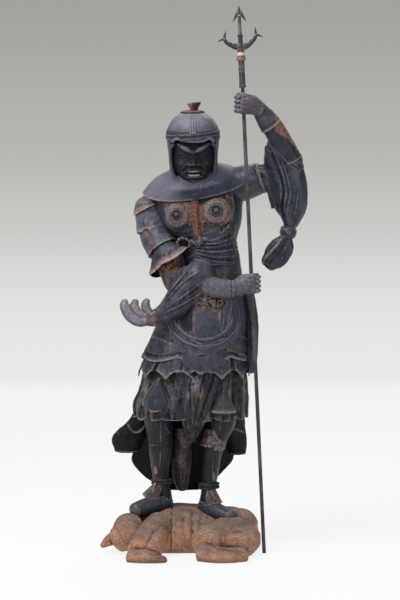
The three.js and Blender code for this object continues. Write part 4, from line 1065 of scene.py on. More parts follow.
    over_skirt = limb(
        space, [(2.6, 0.4, 37, 12.3, 9.3), (2.2, 0.6, 31, 13.3, 9.8), (1.4, 0.9, 26.5, 14.2, 10),
                (1.3, 1.2, 23.5, 14.1, 9.8)],
        level=True, swell=flute, hollow=0.16, trim=0.22, fine=1.25,
        hem=lambda s: 0.8 * np.abs(np.cos(7 * s.angle)) + 0.35 * s.bumps(2.2, 48),
        carve=lambda s: (0.5 + 0.9 * s.along) * fold(14 * s.angle + 0.8 * np.sin(3 * s.angle) + 0.25 * s.run)
            + 0.8 * s.bumps(3, 49),
        paint=lambda s: {
            "blue": 0.3 + 0.5 * s.patch(-2.9, 29.5, 0.9, 3.5) + 0.6 * s.patch(7.6, 31, 1.4, 4),
            "worn": 0.5 * s.mottle(1.4, 50, 0, 0.7, 0.35) * s.front + 0.5 * s.patch(-9, 29.5, 2.2, 4)
                + 0.3 * s.patch(-4.4, 30, 1.4, 4),
            "bloom_and_highlight": 0.45 * s.patch(-9.4, 29.5, 1.6, 3.6) * s.mottle(1.1, 51, -0.6, 0.5, 0.4)
                + 0.35 * s.patch(-4.4, 30, 1.2, 3.4) * s.mottle(1, 53, -0.6, 0.5)
                + 0.3 * s.patch(10.6, 29, 0.9, 1.4)})
    stole = limb(
        space, [(15.3, -2.4, 56, 1.4, 2.2), (16.4, -2.2, 48, 1.7, 2.4), (16.5, -2, 40, 1.6, 2.2),
                (16.1, -1.8, 34.2, 1.4, 1.8)],
        level=True, trim=0.3, fine=1.5, carve=lambda s: 1.2 * fold(5 * s.angle + 0.5 * np.sin(s.run / 3)),
        paint=lambda s: {"blue": 0.6, "worn": 0.1, "shade_and_grime": 0.6 * s.turn(215, 25)})
    return [belt, mask, knobs, tassets, apron, border, lower_apron, small_petal, petal_row, over_skirt, stole]


def hangings():
    """The cloth that hangs below the skirts: a centre fall gathered to a point, leaf-shaped thigh guards, the
    cape behind and its two side tails, and the back panel between the legs."""
    space = figure_frame()
    valleys = [[(-1.8, 34), (-0.8, 26.5), (0.8, 19.5)], [(1.6, 35), (1.2, 28), (1.4, 21)],
               [(5.0, 35.5), (3.4, 28), (1.9, 19)], [(7.4, 35), (5.6, 29), (2.8, 21)]]

    def centre_paint(s):
        cream = (np.maximum(s.patch(2.5, 32.5, 1.2, 2.0), s.patch(0.9, 29.2, 0.5, 1.0))
                 * s.mottle(0.8, 62, -0.9, 0.1))
        tan = s.patch(3.9, 29.4, 0.7, 1.8) * s.mottle(0.8, 61, -0.9, 0.1)
        return {
            "blue": 0.35, "bloom_and_highlight": 0.85 * cream, "gilt": 0.5 * tan,
            "worn": 0.45 * s.mottle(1.1, 60, 0, 0.7, 0.35) + 0.5 * tan}

    centre = limb(
        space, [(3.2, -6.4, 35, 6, 3.6), (2.8, -6.8, 29, 5.0, 3.6), (2.2, -6.4, 23, 3.2, 3),
                (1.6, -5.4, 17.4, 0.9, 1.2)],
        level=True, fine=1.6, dense=0.3, paint=centre_paint,
        carve=lambda s: 1.1 - 2.8 * s.lines(valleys, 0.42) + 0.5 * ripple(s.place * [1.6, 1, 0.35], 1.6, 61),
        swell=lambda s: 1 + 0.08 * (0.3 + 0.7 * s.along) * np.cos(6 * s.angle + np.pi))
    leaves = [([(-6.4, -7.7, 33, 0.6, 1.4), (-6.9, -7.5, 30.4, 2.1, 1.9), (-7.2, -7.3, 27.2, 3.4, 2.1),
                (-7.3, -7, 25.2, 1.6, 1.9)],
               (-6.5, 32.4), (-7.3, 26)),
              ([(9.6, -7.8, 30.2, 0.6, 1.3), (9.6, -7.8, 28, 1.7, 1.9), (9.4, -7.3, 25, 3.3, 2.2)],
               (9.6, 29.6), (9.5, 25.4))]
    thigh_guards = [
        limb(
            space, rows, level=True, trim=0.4, fine=1.6, ends=(0.3, 0.2),
            carve=lambda s, line=(top, foot): 0.6 * s.stroke(line, 0.26)
                - 0.3 * (s.turn(-35, 9) + s.turn(-145, 9)),
            paint=lambda s: {
                "blue": 0.85, "worn": 0.35 * s.mottle(1.6, 63, 0, 0.8),
                "line": 0.2 * np.clip(s.turn(-20, 7) + s.turn(-160, 7) + s.rim(0.3, 0.25), 0, 1)})
        for rows, top, foot in leaves]
    cape = limb(
        space, [(1.5, 4.2, 27, 12.6, 4.6), (0.8, 5.2, 19, 13.6, 3.8), (-0.5, 5.6, 13.2, 12.9, 3.4),
                (-0.9, 5.6, 11, 12.6, 3.2), (-1.1, 5.6, 8.6, 10.6, 2.8), (-0.9, 5.4, 6.2, 8.0, 2.4),
                (-0.6, 5.2, 3.9, 5.0, 1.8)],
        level=True, trim=0.15, fine=1.1,
        carve=lambda s: 1.8 * fold(9 * s.angle + 0.9 * np.sin(s.z / 4) + 0.6)
            * soft_step(-0.5, 0.3, np.sin(s.angle) + 0.5) + 0.8 * s.bumps(4, 64),
        # The cape's front, seen between and behind the legs, is painted dark as shade; its back is worn in
        # patches.
        paint=lambda s: {"shade_and_grime": 1.2 * s.front, "worn": 0.25 * (1 - s.front) * s.mottle(4, 65, 0.3, 0.9)})
    rolls = {
        -1: [[(-14.6, 21.0), (-13.0, 19.0), (-11.4, 19.2), (-9.8, 21.0)],
             [(-12.8, 18.7), (-11.4, 19.0), (-10.1, 20.5)]],
        1: [[(11.4, 20.9), (12.4, 19.7), (13.2, 19.5), (14.7, 18.8)]]}

    def tail(rows, side, seed):
        """One end of the cape, blown outwards, with pale rolled folds."""
        return limb(
            space, rows, level=True, ends=(0, 0.25), trim=0.25, fine=1.5,
            carve=lambda s: 1.5 * s.lines(rolls[side], 0.34)
                + 1.2 * s.stroke([(side * 11, 27), (side * 13.6, 22), (side * 15.6, 17)], 0.5)
                - 0.6 * s.stroke([(side * 13, 26), (side * 15, 20)], 0.3) + 0.5 * s.bumps(2, seed),
            paint=lambda s: {
                "blue": 0.15, "line": 0.4 * s.lines(rolls[side], 0.2),
                "worn": 0.12 * s.mottle(2.5, seed, 0, 0.9), "shade_and_grime": 0.3 * s.front})

    tails = [
        tail(
            [(-9.6, 2.2, 26, 2.2, 2.8), (-11.4, 3.0, 21.8, 2.9, 2.4), (-13.9, 3.8, 17.6, 4.5, 1.9),
             (-14.8, 4.2, 13.8, 3.1, 1.3)],
            -1, 66),
        tail(
            [(11.5, 2.2, 27, 3.0, 2.8), (12, 3.2, 21.5, 3.1, 2.4), (12.7, 3.7, 16.4, 2.9, 1.9),
             (13.3, 4, 13.2, 2.1, 1.4)],
            1, 67)]
    back_panel = limb(
        space, [(-0.4, -0.2, 20, 2.2, 2.2), (-0.8, 0.6, 13, 2.5, 1.8), (-1, 1.6, 7.5, 2.2, 1.6),
                (-0.8, 2.4, 4.4, 1.3, 1.3)],
        level=True, ends=(0.3, 0.4), fine=1.6,
        carve=lambda s: 0.8 * s.bumps(3.0, 68) + s.stroke([(-0.6, 19), (-1.2, 12), (-0.9, 5)], 0.4),
        paint=lambda s: {
            "worn": 0.3 + 0.25 * s.mottle(2.4, 69, -0.3, 0.6, 0.4), "blue": 0.3,
            "bloom_and_highlight": 0.1 * s.mottle(1.2, 70, 0.2, 0.9) + 0.5 * s.patch(-1.3, 17.9, 0.4, 0.4)})
    return [centre, thigh_guards, cape, tails, back_panel]


def shoes(grow=0.0, **looks):
    """Pointed cloth shoes. The demon's back is cut to fit them, a clearance larger."""
    space = figure_frame()
    both = [[(-4.2, -1.0, 2.1, 2.0, 2.0), (-7.0, -2.8, 1.6, 2.2, 2.3), (-10.2, -5.0, 0.9, 2.1, 2.4),
             (-12.3, -6.4, 0.3, 1.9, 2.1)],
            [(4.4, -1.2, 0.6, 2.2, 2.1), (6.6, -3.0, 0, 2.3, 2.4), (9.2, -5.2, -0.7, 2.1, 2.4),
             (11.4, -6.8, -1.2, 1.8, 2.1)]]
    return [
        limb(space, rows, ends=(0.3, 0.6), grow=grow, fine=1.3, rough=0.0 if grow else 0.1, **looks)
        for rows in both]


def legs():
    """The booted legs: trousers with a side seam, a cuff gathered at the left knee, ankle cords over spread
    flaps, and the shoes."""
    space = figure_frame()

    def trouser(rows, seams, patch):
        """A leg with raised seams, and a bare patch at x, z that is taller than wide."""
        return limb(
            space, rows, fine=1.4, carve=lambda s: 0.9 * s.lines(seams, 0.18, 0) + 0.4 * s.bumps(3, 71, 0.4),
            paint=lambda s: {
                "blue": 0.15, "line": 0.16 * s.lines(seams, 0.1, 0) * s.mottle(3, 72, -0.5, 0.6),
                "worn": 0.08 * s.mottle(3, 74, 0.3, 1),
                "gilt": 0.9 * soft_step(0.4, 0.6, s.patch(*patch, 0.5, 1.3) + 0.15 * s.bumps(0.8, 73))})

    right = trouser([(-5.4, -1, 30, 4.4, 4.8), (-6.3, -2.4, 23, 4.0, 4.4), (-6.2, -2.6, 18, 3.2, 3.7),
                     (-6.1, -2.2, 13, 2.7, 3.2), (-6.0, -1.8, 8, 1.95, 2.3), (-5.2, -1.4, 4, 1.8, 2.2),
                     (-5.0, -1.3, 1.6, 1.9, 2.3)],
                    [[(-6.0, 25), (-6.0, 16.7), (-6.2, 11)], [(-9.4, 16.8), (-7.8, 16.5), (-6, 16.6)],
                     [(-5, 22), (-4.4, 20.6), (-3.8, 19.5)]],
                    (-7.3, 10.0))
    left = trouser([(7.9, -1, 30, 4.6, 4.8), (8.9, -2.4, 23, 4.0, 4.4), (8.2, -2.6, 19, 3.0, 3.7),
                    (7.0, -2.4, 15, 2.5, 3.3), (6.4, -2.0, 10, 2.1, 2.7), (6.0, -1.7, 5.6, 1.8, 2.2),
                    (5.3, -1.4, 1, 1.9, 2.3)],
                   [[(9.0, 25), (8.6, 20.4)], [(7.0, 14), (6.8, 9)], [(6.4, 24.4), (6.9, 20.4)]], (7.2, 8.4))
    gather = limb(
        space, [(7.9, -2.6, 20, 3.0, 3.6), (7.5, -2.6, 18, 3.1, 3.75), (6.9, -2.6, 15.8, 3.1, 3.9)],
        fine=1.8, hem=lambda s: 0.4 * s.bumps(1.5, 75), hollow=0.1, trim=0.15,
        carve=lambda s: 0.3 * fold(11 * s.angle + np.sin(2 * s.z)) + 0.55 * s.bumps(2.4, 76),
        paint=lambda s: {
            "worn": 0.4 + 0.2 * s.mottle(1.6, 77, -0.3, 0.6), "bloom_and_highlight": 0.45 * s.mottle(1.2, 78, -0.3, 0.7),
            "rust": 0.12, "blue": 0.4})
    anklets = []
    for x, z in ((-5.8, 7.7), (6.0, 6.5)):
        for drop in (0.0, 0.75):
            ring = [
                (x + 2.35 * np.cos(a), -1.7 + 2.65 * np.sin(a), z - 0.3 - drop + 0.12 * np.cos(a))
                for a in np.linspace(0, 2 * np.pi, 17)]
            anklets.append(cord(space, ring, 0.34, fine=2, rough=0.1, paint={"shade_and_grime": 0.6}))
        anklets.append(limb(space, [(x, -1.7, z, 2.25, 2.55), (x, -1.7, z - 0.9, 2.25, 2.55)], level=True))
    flaps = [
        limb(
            space, rows, fine=2, ends=(0, 0.2), trim=0.3,
            carve=lambda s, lines=lines: 0.7 * s.lines(lines, 0.2) - 0.2,
            paint=lambda s, lines=lines: {
                "worn": 0.5, "rust": 0.06, "blue": 0.4, "line": 0.35 * s.lines(lines, 0.14)})
        for rows, lines in (([(-6.2, -3.3, 6.9, 1.0, 0.9), (-8.8, -4.3, 2.9, 2.3, 0.9)],
                             [[(-7.3, 7.6), (-8.1, 4.4)], [(-6.7, 7.2), (-5.9, 4.4), (-6.4, 3.2)],
                              [(-10.4, 3.4), (-8.6, 2.6)]]),
                            ([(6.3, -3.4, 5.8, 1.0, 0.9), (7.2, -4.5, 1.6, 2.2, 0.9)],
                             [[(5.9, 6.2), (5.2, 2.7)], [(6.2, 5.5), (7.2, 3.6), (8.6, 2.4)]]))]
    worn_shoes = shoes(
        paint=lambda s: {
            "blue": 0.55, "worn": 0.08 * s.mottle(2, 80, 0.3, 0.9), "bloom_and_highlight": 0.03 * s.mottle(2, 81)},
        carve=lambda s: -0.8 * bell(s.along - 0.33, 0.02) - 0.5 * s.turn(0, 5) - 0.5 * s.turn(180, 5))
    return [right, left, gather, anklets, flaps, worn_shoes]


def fist(place, side, paint):
    """A closed hand round the staff: a broad back, four knuckled fingers before the shaft, and a thumb."""
    space, (x, y, z) = figure_frame(), place
    parts = [limb(
        space, [(x - side * 4.2, y - 0.1, z - 1.3, 1.8, 1.9), (x - side * 1.8, y - 0.2, z - 0.2, 2.5, 2.5),
                (x + side * 0.5, y - 0.2, z, 2.5, 2.3)],
        ends=(0.5, 0.15), fine=2, paint=paint,
        carve=lambda s: 0.5 * np.cos(2 * np.pi * (s.z - z) / 1.1) * soft_step(0.5, 0.9, s.along)
            + 0.4 * s.bumps(1.5, 81))]
    for rise in (1.65, 0.55, -0.55, -1.65):
        parts.append(limb(
            space, [(x - side * 0.2, y - 1.35, z + rise, 0.56, 0.9),
                    (x + side * 1.2, y - 0.9, z + rise, 0.6, 0.9),
                    (x + side * 1.55, y + 0.5, z + rise, 0.55, 0.8)],
            ends=(0.4, 0.4), fine=2.2, rough=0.1, carve=lambda s: 0.6 * bell(s.along - 0.45, 0.14),
            paint=paint))
    parts.append(limb(
        space, [(x - side * 1.6, y - 1.4, z + 1.5, 0.7, 0.7), (x + side * 0.2, y - 1.55, z + 2.0, 0.62, 0.7),
                (x + side * 1.3, y - 0.9, z + 2.2, 0.5, 0.6)],
        ends=(0.3, 0.6), fine=2, rough=0.1, carve=lambda s: 0.4 * bell(s.along - 0.5, 0.15), paint=paint))
    return parts


def right_arm():
    """The arm across the body: a tiered guard with a flared, scalloped elbow, a sleeve that hangs to a knot
    with three curled lobes, and the forearm to the lower fist."""
    space = figure_frame()

    def tier(rows, tint, carve=None, **options):
        return limb(space, rows, fine=1.5, paint=tint, carve=carve, **options)

    cap = tier(
        [(-8.9, 0.1, 78.4, 1.2, 2.0), (-9.1, 0, 77.1, 2.9, 3.6), (-9.3, -0.1, 75.2, 3.6, 4.6)],
        lambda s: {
            "bloom_and_highlight": 0.02 + 0.1 * s.mottle(3, 82, -0.3, 0.8), "blue": 0.6, "rust": 0.3 * s.rim(0.25, 0.3),
            "worn": 0.3 + 0.4 * soft_step(-9, -11, s.x),
            "gilt": 0.25 * s.rim(0.2, 0.25) * s.mottle(1.2, 83, -0.2, 0.5)},
        level=True, hem=lambda s: -1.9 * np.cos(s.angle), ends=(0.2, 0), trim=0.35,
        carve=lambda s: 0.7 * s.rim(0.35, 0.25) - 0.5 * s.rim(0.85, 0.15))

    def tiles(s):
        return -0.5 * bell(np.sin(2.1 * s.angle + 0.6), 0.12)

    upper = tier(
        [(-9.1, 0, 76, 3.4, 3.8), (-8.7, -0.3, 73.4, 3.7, 4.0), (-8.0, -0.9, 69.6, 4.0, 4.2)],
        lambda s: {
            "bloom_and_highlight": 0.15 + 0.3 * s.mottle(1.9, 84, -0.5, 0.7), "blue": 1,
            "rust": 0.5 * s.rim(0.2, 0.35) * s.mottle(1, 85, -0.3, 0.4),
            "worn": 0.5 * s.rim(0.3, 0.5) + 0.15 * s.mottle(1, 86, 0.2, 0.8)},
        carve=lambda s: tiles(s) + 0.6 * s.rim(0.3, 0.3) + 0.4 * s.bumps(1.5, 86),
        hem=lambda s: 0.35 * s.bumps(1.3, 87), trim=0.4)
    lower = tier(
        [(-8.0, -0.8, 71, 3.5, 3.7), (-7.2, -1.6, 68, 3.9, 4.1), (-5.4, -2.7, 65.1, 4.2, 4.6)],
        lambda s: {
            "bloom_and_highlight": 0.22 * s.mottle(2.4, 88, -0.6, 0.8), "blue": 1,
            "rust": 0.8 * s.stroke([(-9.9, 70.5), (-8.8, 68.1), (-7.9, 64.6)], 0.35)
                + 0.3 * s.rim(0.15, 0.25),
            "gilt": 0.5 * s.stroke([(-9.9, 70.2), (-8.9, 68.3)], 0.3)},
        carve=lambda s: 0.6 * s.rim(0.3, 0.25) + tiles(s)
            - s.stroke([(-9.9, 70.5), (-8.8, 68.1), (-7.9, 64.6)], 0.3),
        trim=0.4)

    def flare_hem(s):
        return 0.5 * np.abs(np.cos(2.5 * s.angle)) + 2.4 * np.maximum(0, -np.sin(s.angle))

    flare = tier(
        [(-6.3, -2, 66.6, 3.2, 3.6), (-5.0, -3.3, 64.5, 3.5, 3.8), (-3.6, -4.7, 62.4, 6.4, 5.0)],
        lambda s: {
            "blue": 0.7, "bloom_and_highlight": 0.06 * s.mottle(2, 89),
            "gilt": 0.4 * s.rim(0.1, 0.35) * s.mottle(1.1, 90, -0.4, 0.4), "worn": 0.4 * s.rim(0.3, 0.4),
            "rust": 0.35 * s.rim(0.1, 0.5)},
        hem=flare_hem, hollow=0.55, trim=0.45,
        carve=lambda s: fold(7 * s.angle + 0.6) * s.along + 0.7 * s.rim(0.25, 0.3) - 0.4 * s.rim(0.9, 0.2))
    lining = limb(
        space, [(-4.2, -5.2, 62.6, 3.7, 3.9), (-2.9, -6.2, 60.2, 2.6, 3.2), (-1.7, -6.9, 57.6, 1.6, 2.4)],
        fine=1.6, ends=(0.2, 0.4), carve=lambda s: 1.2 * fold(9 * s.angle + s.run),
        paint=lambda s: {
            "rust": 0.75 * s.mottle(1.3, 92, -0.8, 0.2), "shade_and_grime": 0.35 * s.mottle(1, 93, 0, 0.7)})
    elbow = limb(
        space, [(-3.9, -4.6, 62.6, 3.6, 3.4), (-2.3, -6.2, 58.4, 3.4, 3.2), (-0.6, -7.2, 55, 3.2, 2.6)],
        fine=1.4, carve=lambda s: fold(8 * s.angle + s.run),
        paint=lambda s: {"blue": 0.8, "worn": 0.1, "rust": 0.15})
    sweeps = [[(3.8, 60), (-1.1, 56.5), (-6.7, 49.9)], [(5.4, 58), (0.6, 54.4), (-6.4, 49.4)],
              [(1.4, 61), (-2.5, 56.3), (-6.9, 50.3)], [(5.0, 55), (-0.4, 51.8), (-6.2, 48.9)]]
    sleeve = limb(
        space, [(4.4, -7.6, 61.6, 2.4, 2.1), (3.5, -8.6, 58.6, 4.4, 3.3), (1.2, -8.8, 55.4, 4.6, 3.1),
                (-1.5, -9, 52.2, 3.8, 2.9), (-4.3, -8.8, 49.9, 2.7, 2.4), (-7.0, -8.4, 48.5, 1.7, 1.7)],
        ends=(0.3, 0), fine=1.9, dense=0.3,
        swell=lambda s: 1 + 0.05 * (0.3 + 0.7 * s.along) * np.cos(7 * s.angle),
        carve=lambda s: 1.1 * s.lines(sweeps, 0.22)
            - 0.6 * s.lines([[(x, z - 0.7) for x, z in line] for line in sweeps], 0.24)
            + 0.5 * (1 - s.front) * fold(9 * s.angle),
        paint=lambda s: {
            "blue": 0.75, "line": 0.3 * s.lines(sweeps, 0.1) * s.mottle(2, 94, -0.6, 0.4),
            "bloom_and_highlight": 0.1 * s.mottle(3, 95, -0.4, 0.9), "rust": 0.15 * s.mottle(1.2, 91, 0.3, 0.9)})
    knot = limb(
        space, [(-6.6, -8.4, 49.5, 1.2, 1.4), (-7.9, -8.4, 48, 1.9, 1.9), (-9.2, -8.3, 47.2, 1.2, 1.3)],
        ends=(0.4, 0.4), fine=2, carve=lambda s: fold(6 * s.angle + s.run) - 0.6 * bell(s.along - 0.45, 0.1),
        paint=lambda s: {"bloom_and_highlight": 0.35 * s.mottle(0.9, 96, -0.4, 0.6), "rust": 0.35, "blue": 0.5})
    lobes = [
        limb(
            space, rows, ends=(0, 0.5), fine=2,
            carve=lambda s: 0.4 * s.turn(-100, 30) - 1.2 * s.turn(-40, 22),
            # The inner groove of each lobe is painted dark as shade.
            paint=lambda s: {
                "bloom_and_highlight": 0.5 + 0.3 * s.mottle(1.6, 97, -0.9, 0.6), "worn": 0.3, "blue": 0.5,
                "rust": 0.4 * (s.turn(-15, 14) + s.turn(200, 20)) + 0.15, "shade_and_grime": 0.45 * s.turn(-40, 20)})
        for rows in ([(-8.6, -8.4, 47.6, 1.2, 1.3), (-11.2, -8.3, 47.4, 1.4, 1.5),
                      (-13.4, -7.9, 48.8, 1.5, 1.5), (-14.7, -7.4, 51, 1.3, 1.3),
                      (-14.8, -7, 52.3, 0.8, 0.9)],
                     [(-8.8, -8.2, 48.4, 1.0, 1.2), (-11, -8.2, 49.1, 1.1, 1.3), (-12.3, -8, 50.8, 1.2, 1.3),
                      (-12.1, -7.8, 52.4, 0.8, 1)],
                     [(-8.2, -8.2, 49, 0.9, 1.2), (-9.4, -8.2, 50.4, 1.1, 1.3), (-9.6, -8.1, 51.6, 1.1, 1.2),
                      (-9.2, -8, 52.6, 0.7, 0.9)])]

    def skin(s):
        return {
            "blue": 0.55, "worn": 0.3 + 0.1 * s.mottle(1.2, 99, 0, 0.8),
            "bloom_and_highlight": 0.26 + 0.1 * s.mottle(1.0, 100, 0, 0.9)}

    forearm = limb(
        space, [(-1, -7.2, 58.6, 2.6, 2.6), (4, -9, 56.7, 2.8, 2.6), (8.2, -9.7, 55.5, 2.5, 2.4),
                (12.4, -9.6, 55.4, 2.1, 2.0)],
        fine=1.8, paint=skin,
        carve=lambda s: 0.35 * s.bumps(2, 101) - 0.9 * bell(s.x - 11.4, 0.25) + 0.7 * bell(s.x - 10.8, 0.3))
    return [cap, upper, lower, flare, lining, elbow, sleeve, knot, lobes, forearm, fist(GRIP_LOW, 1, skin)]


def left_arm():
    """The raised arm: shoulder guard, under-sleeve, a forearm in a bracer, and a wide sleeve that hangs to a
    knot with a fluttering tail."""
    space = figure_frame()
    guard = limb(
        space, [(11, 0, 80.6, 4.3, 4.8), (15, -0.3, 81.6, 4.4, 4.6), (19.2, -0.8, 82.8, 3.8, 4.2)], fine=1.4,
        trim=0.4, hollow=0.2,
        carve=lambda s: 0.7 * s.rim(0.3, 0.3) - 0.5 * s.rim(0.9, 0.2) + 0.5 * s.bumps(3, 102),
        paint=lambda s: {
            "blue": 0.85, "bloom_and_highlight": 0.12 * s.mottle(3, 103, -0.2, 0.9), "worn": 0.2 * s.rim(0.2, 0.4),
            "rust": 0.2 * s.mottle(1.5, 104, 0.2, 0.8)})
    under_sleeve = limb(
        space, [(18.4, -0.8, 82.6, 3.3, 3.5), (21.6, -1.4, 82.8, 3.7, 3.7), (25, -2.4, 84, 3.2, 3.4)],
        fine=1.4, carve=lambda s: 1.3 * fold(7 * s.angle + 0.6 * s.run),
        paint=lambda s: {"blue": 0.7, "worn": 0.1})
    wear = [(22.2, 98.4), (22.0, 93.8), (23.6, 93.0), (25.4, 92.0), (27.4, 89.6), (29.5, 89.0), (27, 96)]

    def skin(s):
        bare, hand = s.inside(wear, 0.12), soft_step(94, 97, s.z)
        return {
            "rust": 0.45 * bare, "gilt": 0.85 * bare * s.mottle(1.2, 106, -1.2, 0.2), "blue": 0.6,
            "bloom_and_highlight": (0.12 + 0.1 * s.mottle(1.6, 107, 0, 0.9)) * hand * (1 - bare), "worn": 0.3 * hand}

    forearm = limb(
        space, [(19.4, -8, 98, 2.2, 2.2), (21.6, -7, 95, 2.6, 2.5), (23.8, -5.6, 91.2, 2.8, 2.7),
                (25.6, -4.2, 87.6, 3.0, 3.0), (26.5, -3.4, 84.6, 3.1, 3)],
        ends=(0, 0.2), fine=1.6, paint=skin, carve=lambda s: 0.4 * s.bumps(2.5, 109))
    cuff = limb(
        space, [(25.6, -4.1, 87.7, 3.1, 3.2), (26.0, -3.4, 86.2, 3.2, 3.3), (25.8, -2.2, 83, 2.0, 2.4)],
        ends=(0, 0.3), fine=1.8,
        carve=lambda s: 0.8 * bell(s.along - 0.06, 0.05) + 0.5 * s.bumps(1.6, 105, 0.5),
        paint=lambda s: {"blue": 0.4, "worn": 0.2, "bloom_and_highlight": 0.05, "line": 0.35 * bell(s.along - 0.08, 0.05)})
    bracer = limb(
        space, [(17.4, -8.9, 100.0, 2.0, 2.1), (18.4, -8.5, 98.9, 2.0, 2.1), (19.8, -7.9, 97.1, 2.5, 2.5),
                (21.2, -7.3, 95.2, 2.8, 2.7)],
        fine=1.8, trim=0.35,
        carve=lambda s: 0.6 * s.rim(0.3, 0.25) - 0.5 * s.rim(0.8, 0.2) - 0.5 * bell(s.along - 0.3, 0.05),
        paint=lambda s: {**skin(s), "worn": 0.6 * s.rim(0.15, 0.3) + 0.2, "line": 0.3 * s.rim(0.15, 0.2)})
    flows = [[(19.6, 91), (22.2, 86.2), (23.7, 79.6), (23.5, 74.8), (24.9, 70.7)],
             [(20.6, 91), (23.4, 85.6), (24.8, 79.4), (24.3, 74.6), (25.2, 70.7)],
             [(21.8, 90), (24.4, 85), (25.9, 79), (25.3, 74.6), (25.6, 70.7)],
             [(27.8, 79), (27.4, 75), (26.2, 71)]]
    shade = [(21.4, 88.4), (23.6, 82.6), (24.3, 79.4), (24.0, 75), (25.1, 71)]
    sleeve = limb(
        space, [(22.2, -5, 91.6, 2.0, 2.2), (23.4, -4.2, 88, 4.0, 3.0), (24.7, -3.4, 83.6, 4.8, 3.5),
                (25.6, -3.2, 79, 4.7, 3.4), (26.3, -3.1, 75, 3.8, 2.9), (26.3, -3.1, 72.4, 2.4, 2.1),
                (25.9, -3.1, 70.2, 1.3, 1.4)],
        ends=(0.4, 0), fine=1.8, dense=0.2,
        swell=lambda s: 1 + 0.03 * (0.3 + 0.7 * s.along) * np.cos(7 * s.angle),
        carve=lambda s: 1.2 * s.lines(flows, 0.26) - 2.2 * s.stroke(shade, 0.35)
            + 0.8 * (1 - s.front) * fold(9 * s.angle),
        paint=lambda s: {
            "blue": 0.8, "line": 0.13 * s.lines(flows, 0.12) * s.mottle(2, 110, -0.6, 0.5),
            # Painted shade along the valley between the pleat and the sleeve; the side by the pleat is darker
            # too.
            "shade_and_grime": 0.8 * s.stroke(shade, 0.4)
                + 0.4 * s.inside([(19, 90), (23.6, 80), (23.4, 74), (20.5, 75)], 0.5),
            "bloom_and_highlight": 0.09 * s.mottle(3.5, 111, -0.3, 0.9), "worn": 0.1 * s.mottle(2.5, 112, 0.3, 1)})
    pleat = limb(
        space, [(20.9, -4, 90.4, 1.2, 1.8), (21.5, -3.4, 83, 1.9, 2), (22.6, -3.1, 75.2, 1.2, 1.4)],
        ends=(0.3, 0), fine=1.6, carve=lambda s: (s.turn(-90, 25) - s.turn(-50, 14)),
        paint=lambda s: {"blue": 0.5, "worn": 0.12, "rust": 0.1 * s.mottle(1.2, 114, 0.2, 0.8)})
    knot = limb(
        space, [(24, -3.1, 69.7, 1.1, 1.2), (25.6, -3.2, 69.3, 1.7, 1.9), (27.2, -3.1, 68.9, 1.2, 1.3)],
        ends=(0.3, 0.3), fine=2, carve=lambda s: fold(5 * s.angle + s.run),
        paint=lambda s: {"worn": 0.35, "blue": 0.5, "bloom_and_highlight": 0.1 * s.mottle(1, 115)})
    tail = limb(
        space, [(25.4, -3.1, 68.4, 1.3, 1.1), (24.3, -3.1, 65.9, 2.9, 1.5), (22.4, -3, 63.1, 3.1, 1.4),
                (20.4, -2.9, 61.1, 1.9, 1.1)],
        ends=(0, 0.4), fine=1.8, hem=lambda s: 0.3 * s.bumps(1, 116),
        carve=lambda s: 1.2 * s.stroke([(24.4, 68), (22.4, 65.4), (19.6, 62.6)], 0.34)
            - s.stroke([(25.3, 67.6), (23.6, 64.6), (21, 61.4)], 0.3) + 0.4 * s.bumps(1.3, 117),
        paint=lambda s: {
            "blue": 0.6, "worn": 0.25 * s.mottle(1.2, 118, -0.2, 0.7),
            "line": 0.35 * s.stroke([(23.7, 67.4), (21.8, 65), (19.8, 62.8)], 0.22)})
    return [guard, under_sleeve, forearm, cuff, bracer, sleeve, pleat, knot, tail, fist(GRIP_HIGH, -1, skin)]


# The demon, the staff and the finial


BORE_SIDES = 48
CUT_PAST = 0.02  # how far a cutting tool reaches past the face that it opens


def bore_radius():
    """The radius of the hole for the shaft in each piece that it passes through."""
    return sizes().shaft_diameter / 2 + sizes().clearance


def shaft_room():
    """The room that the shaft needs inside whatever it passes through."""
    radius, top = bore_radius(), shaft_length()
    return turned(staff_frame(), [(0, -CUT_PAST), (radius, -CUT_PAST), (radius, top), (0, top)], BORE_SIDES)


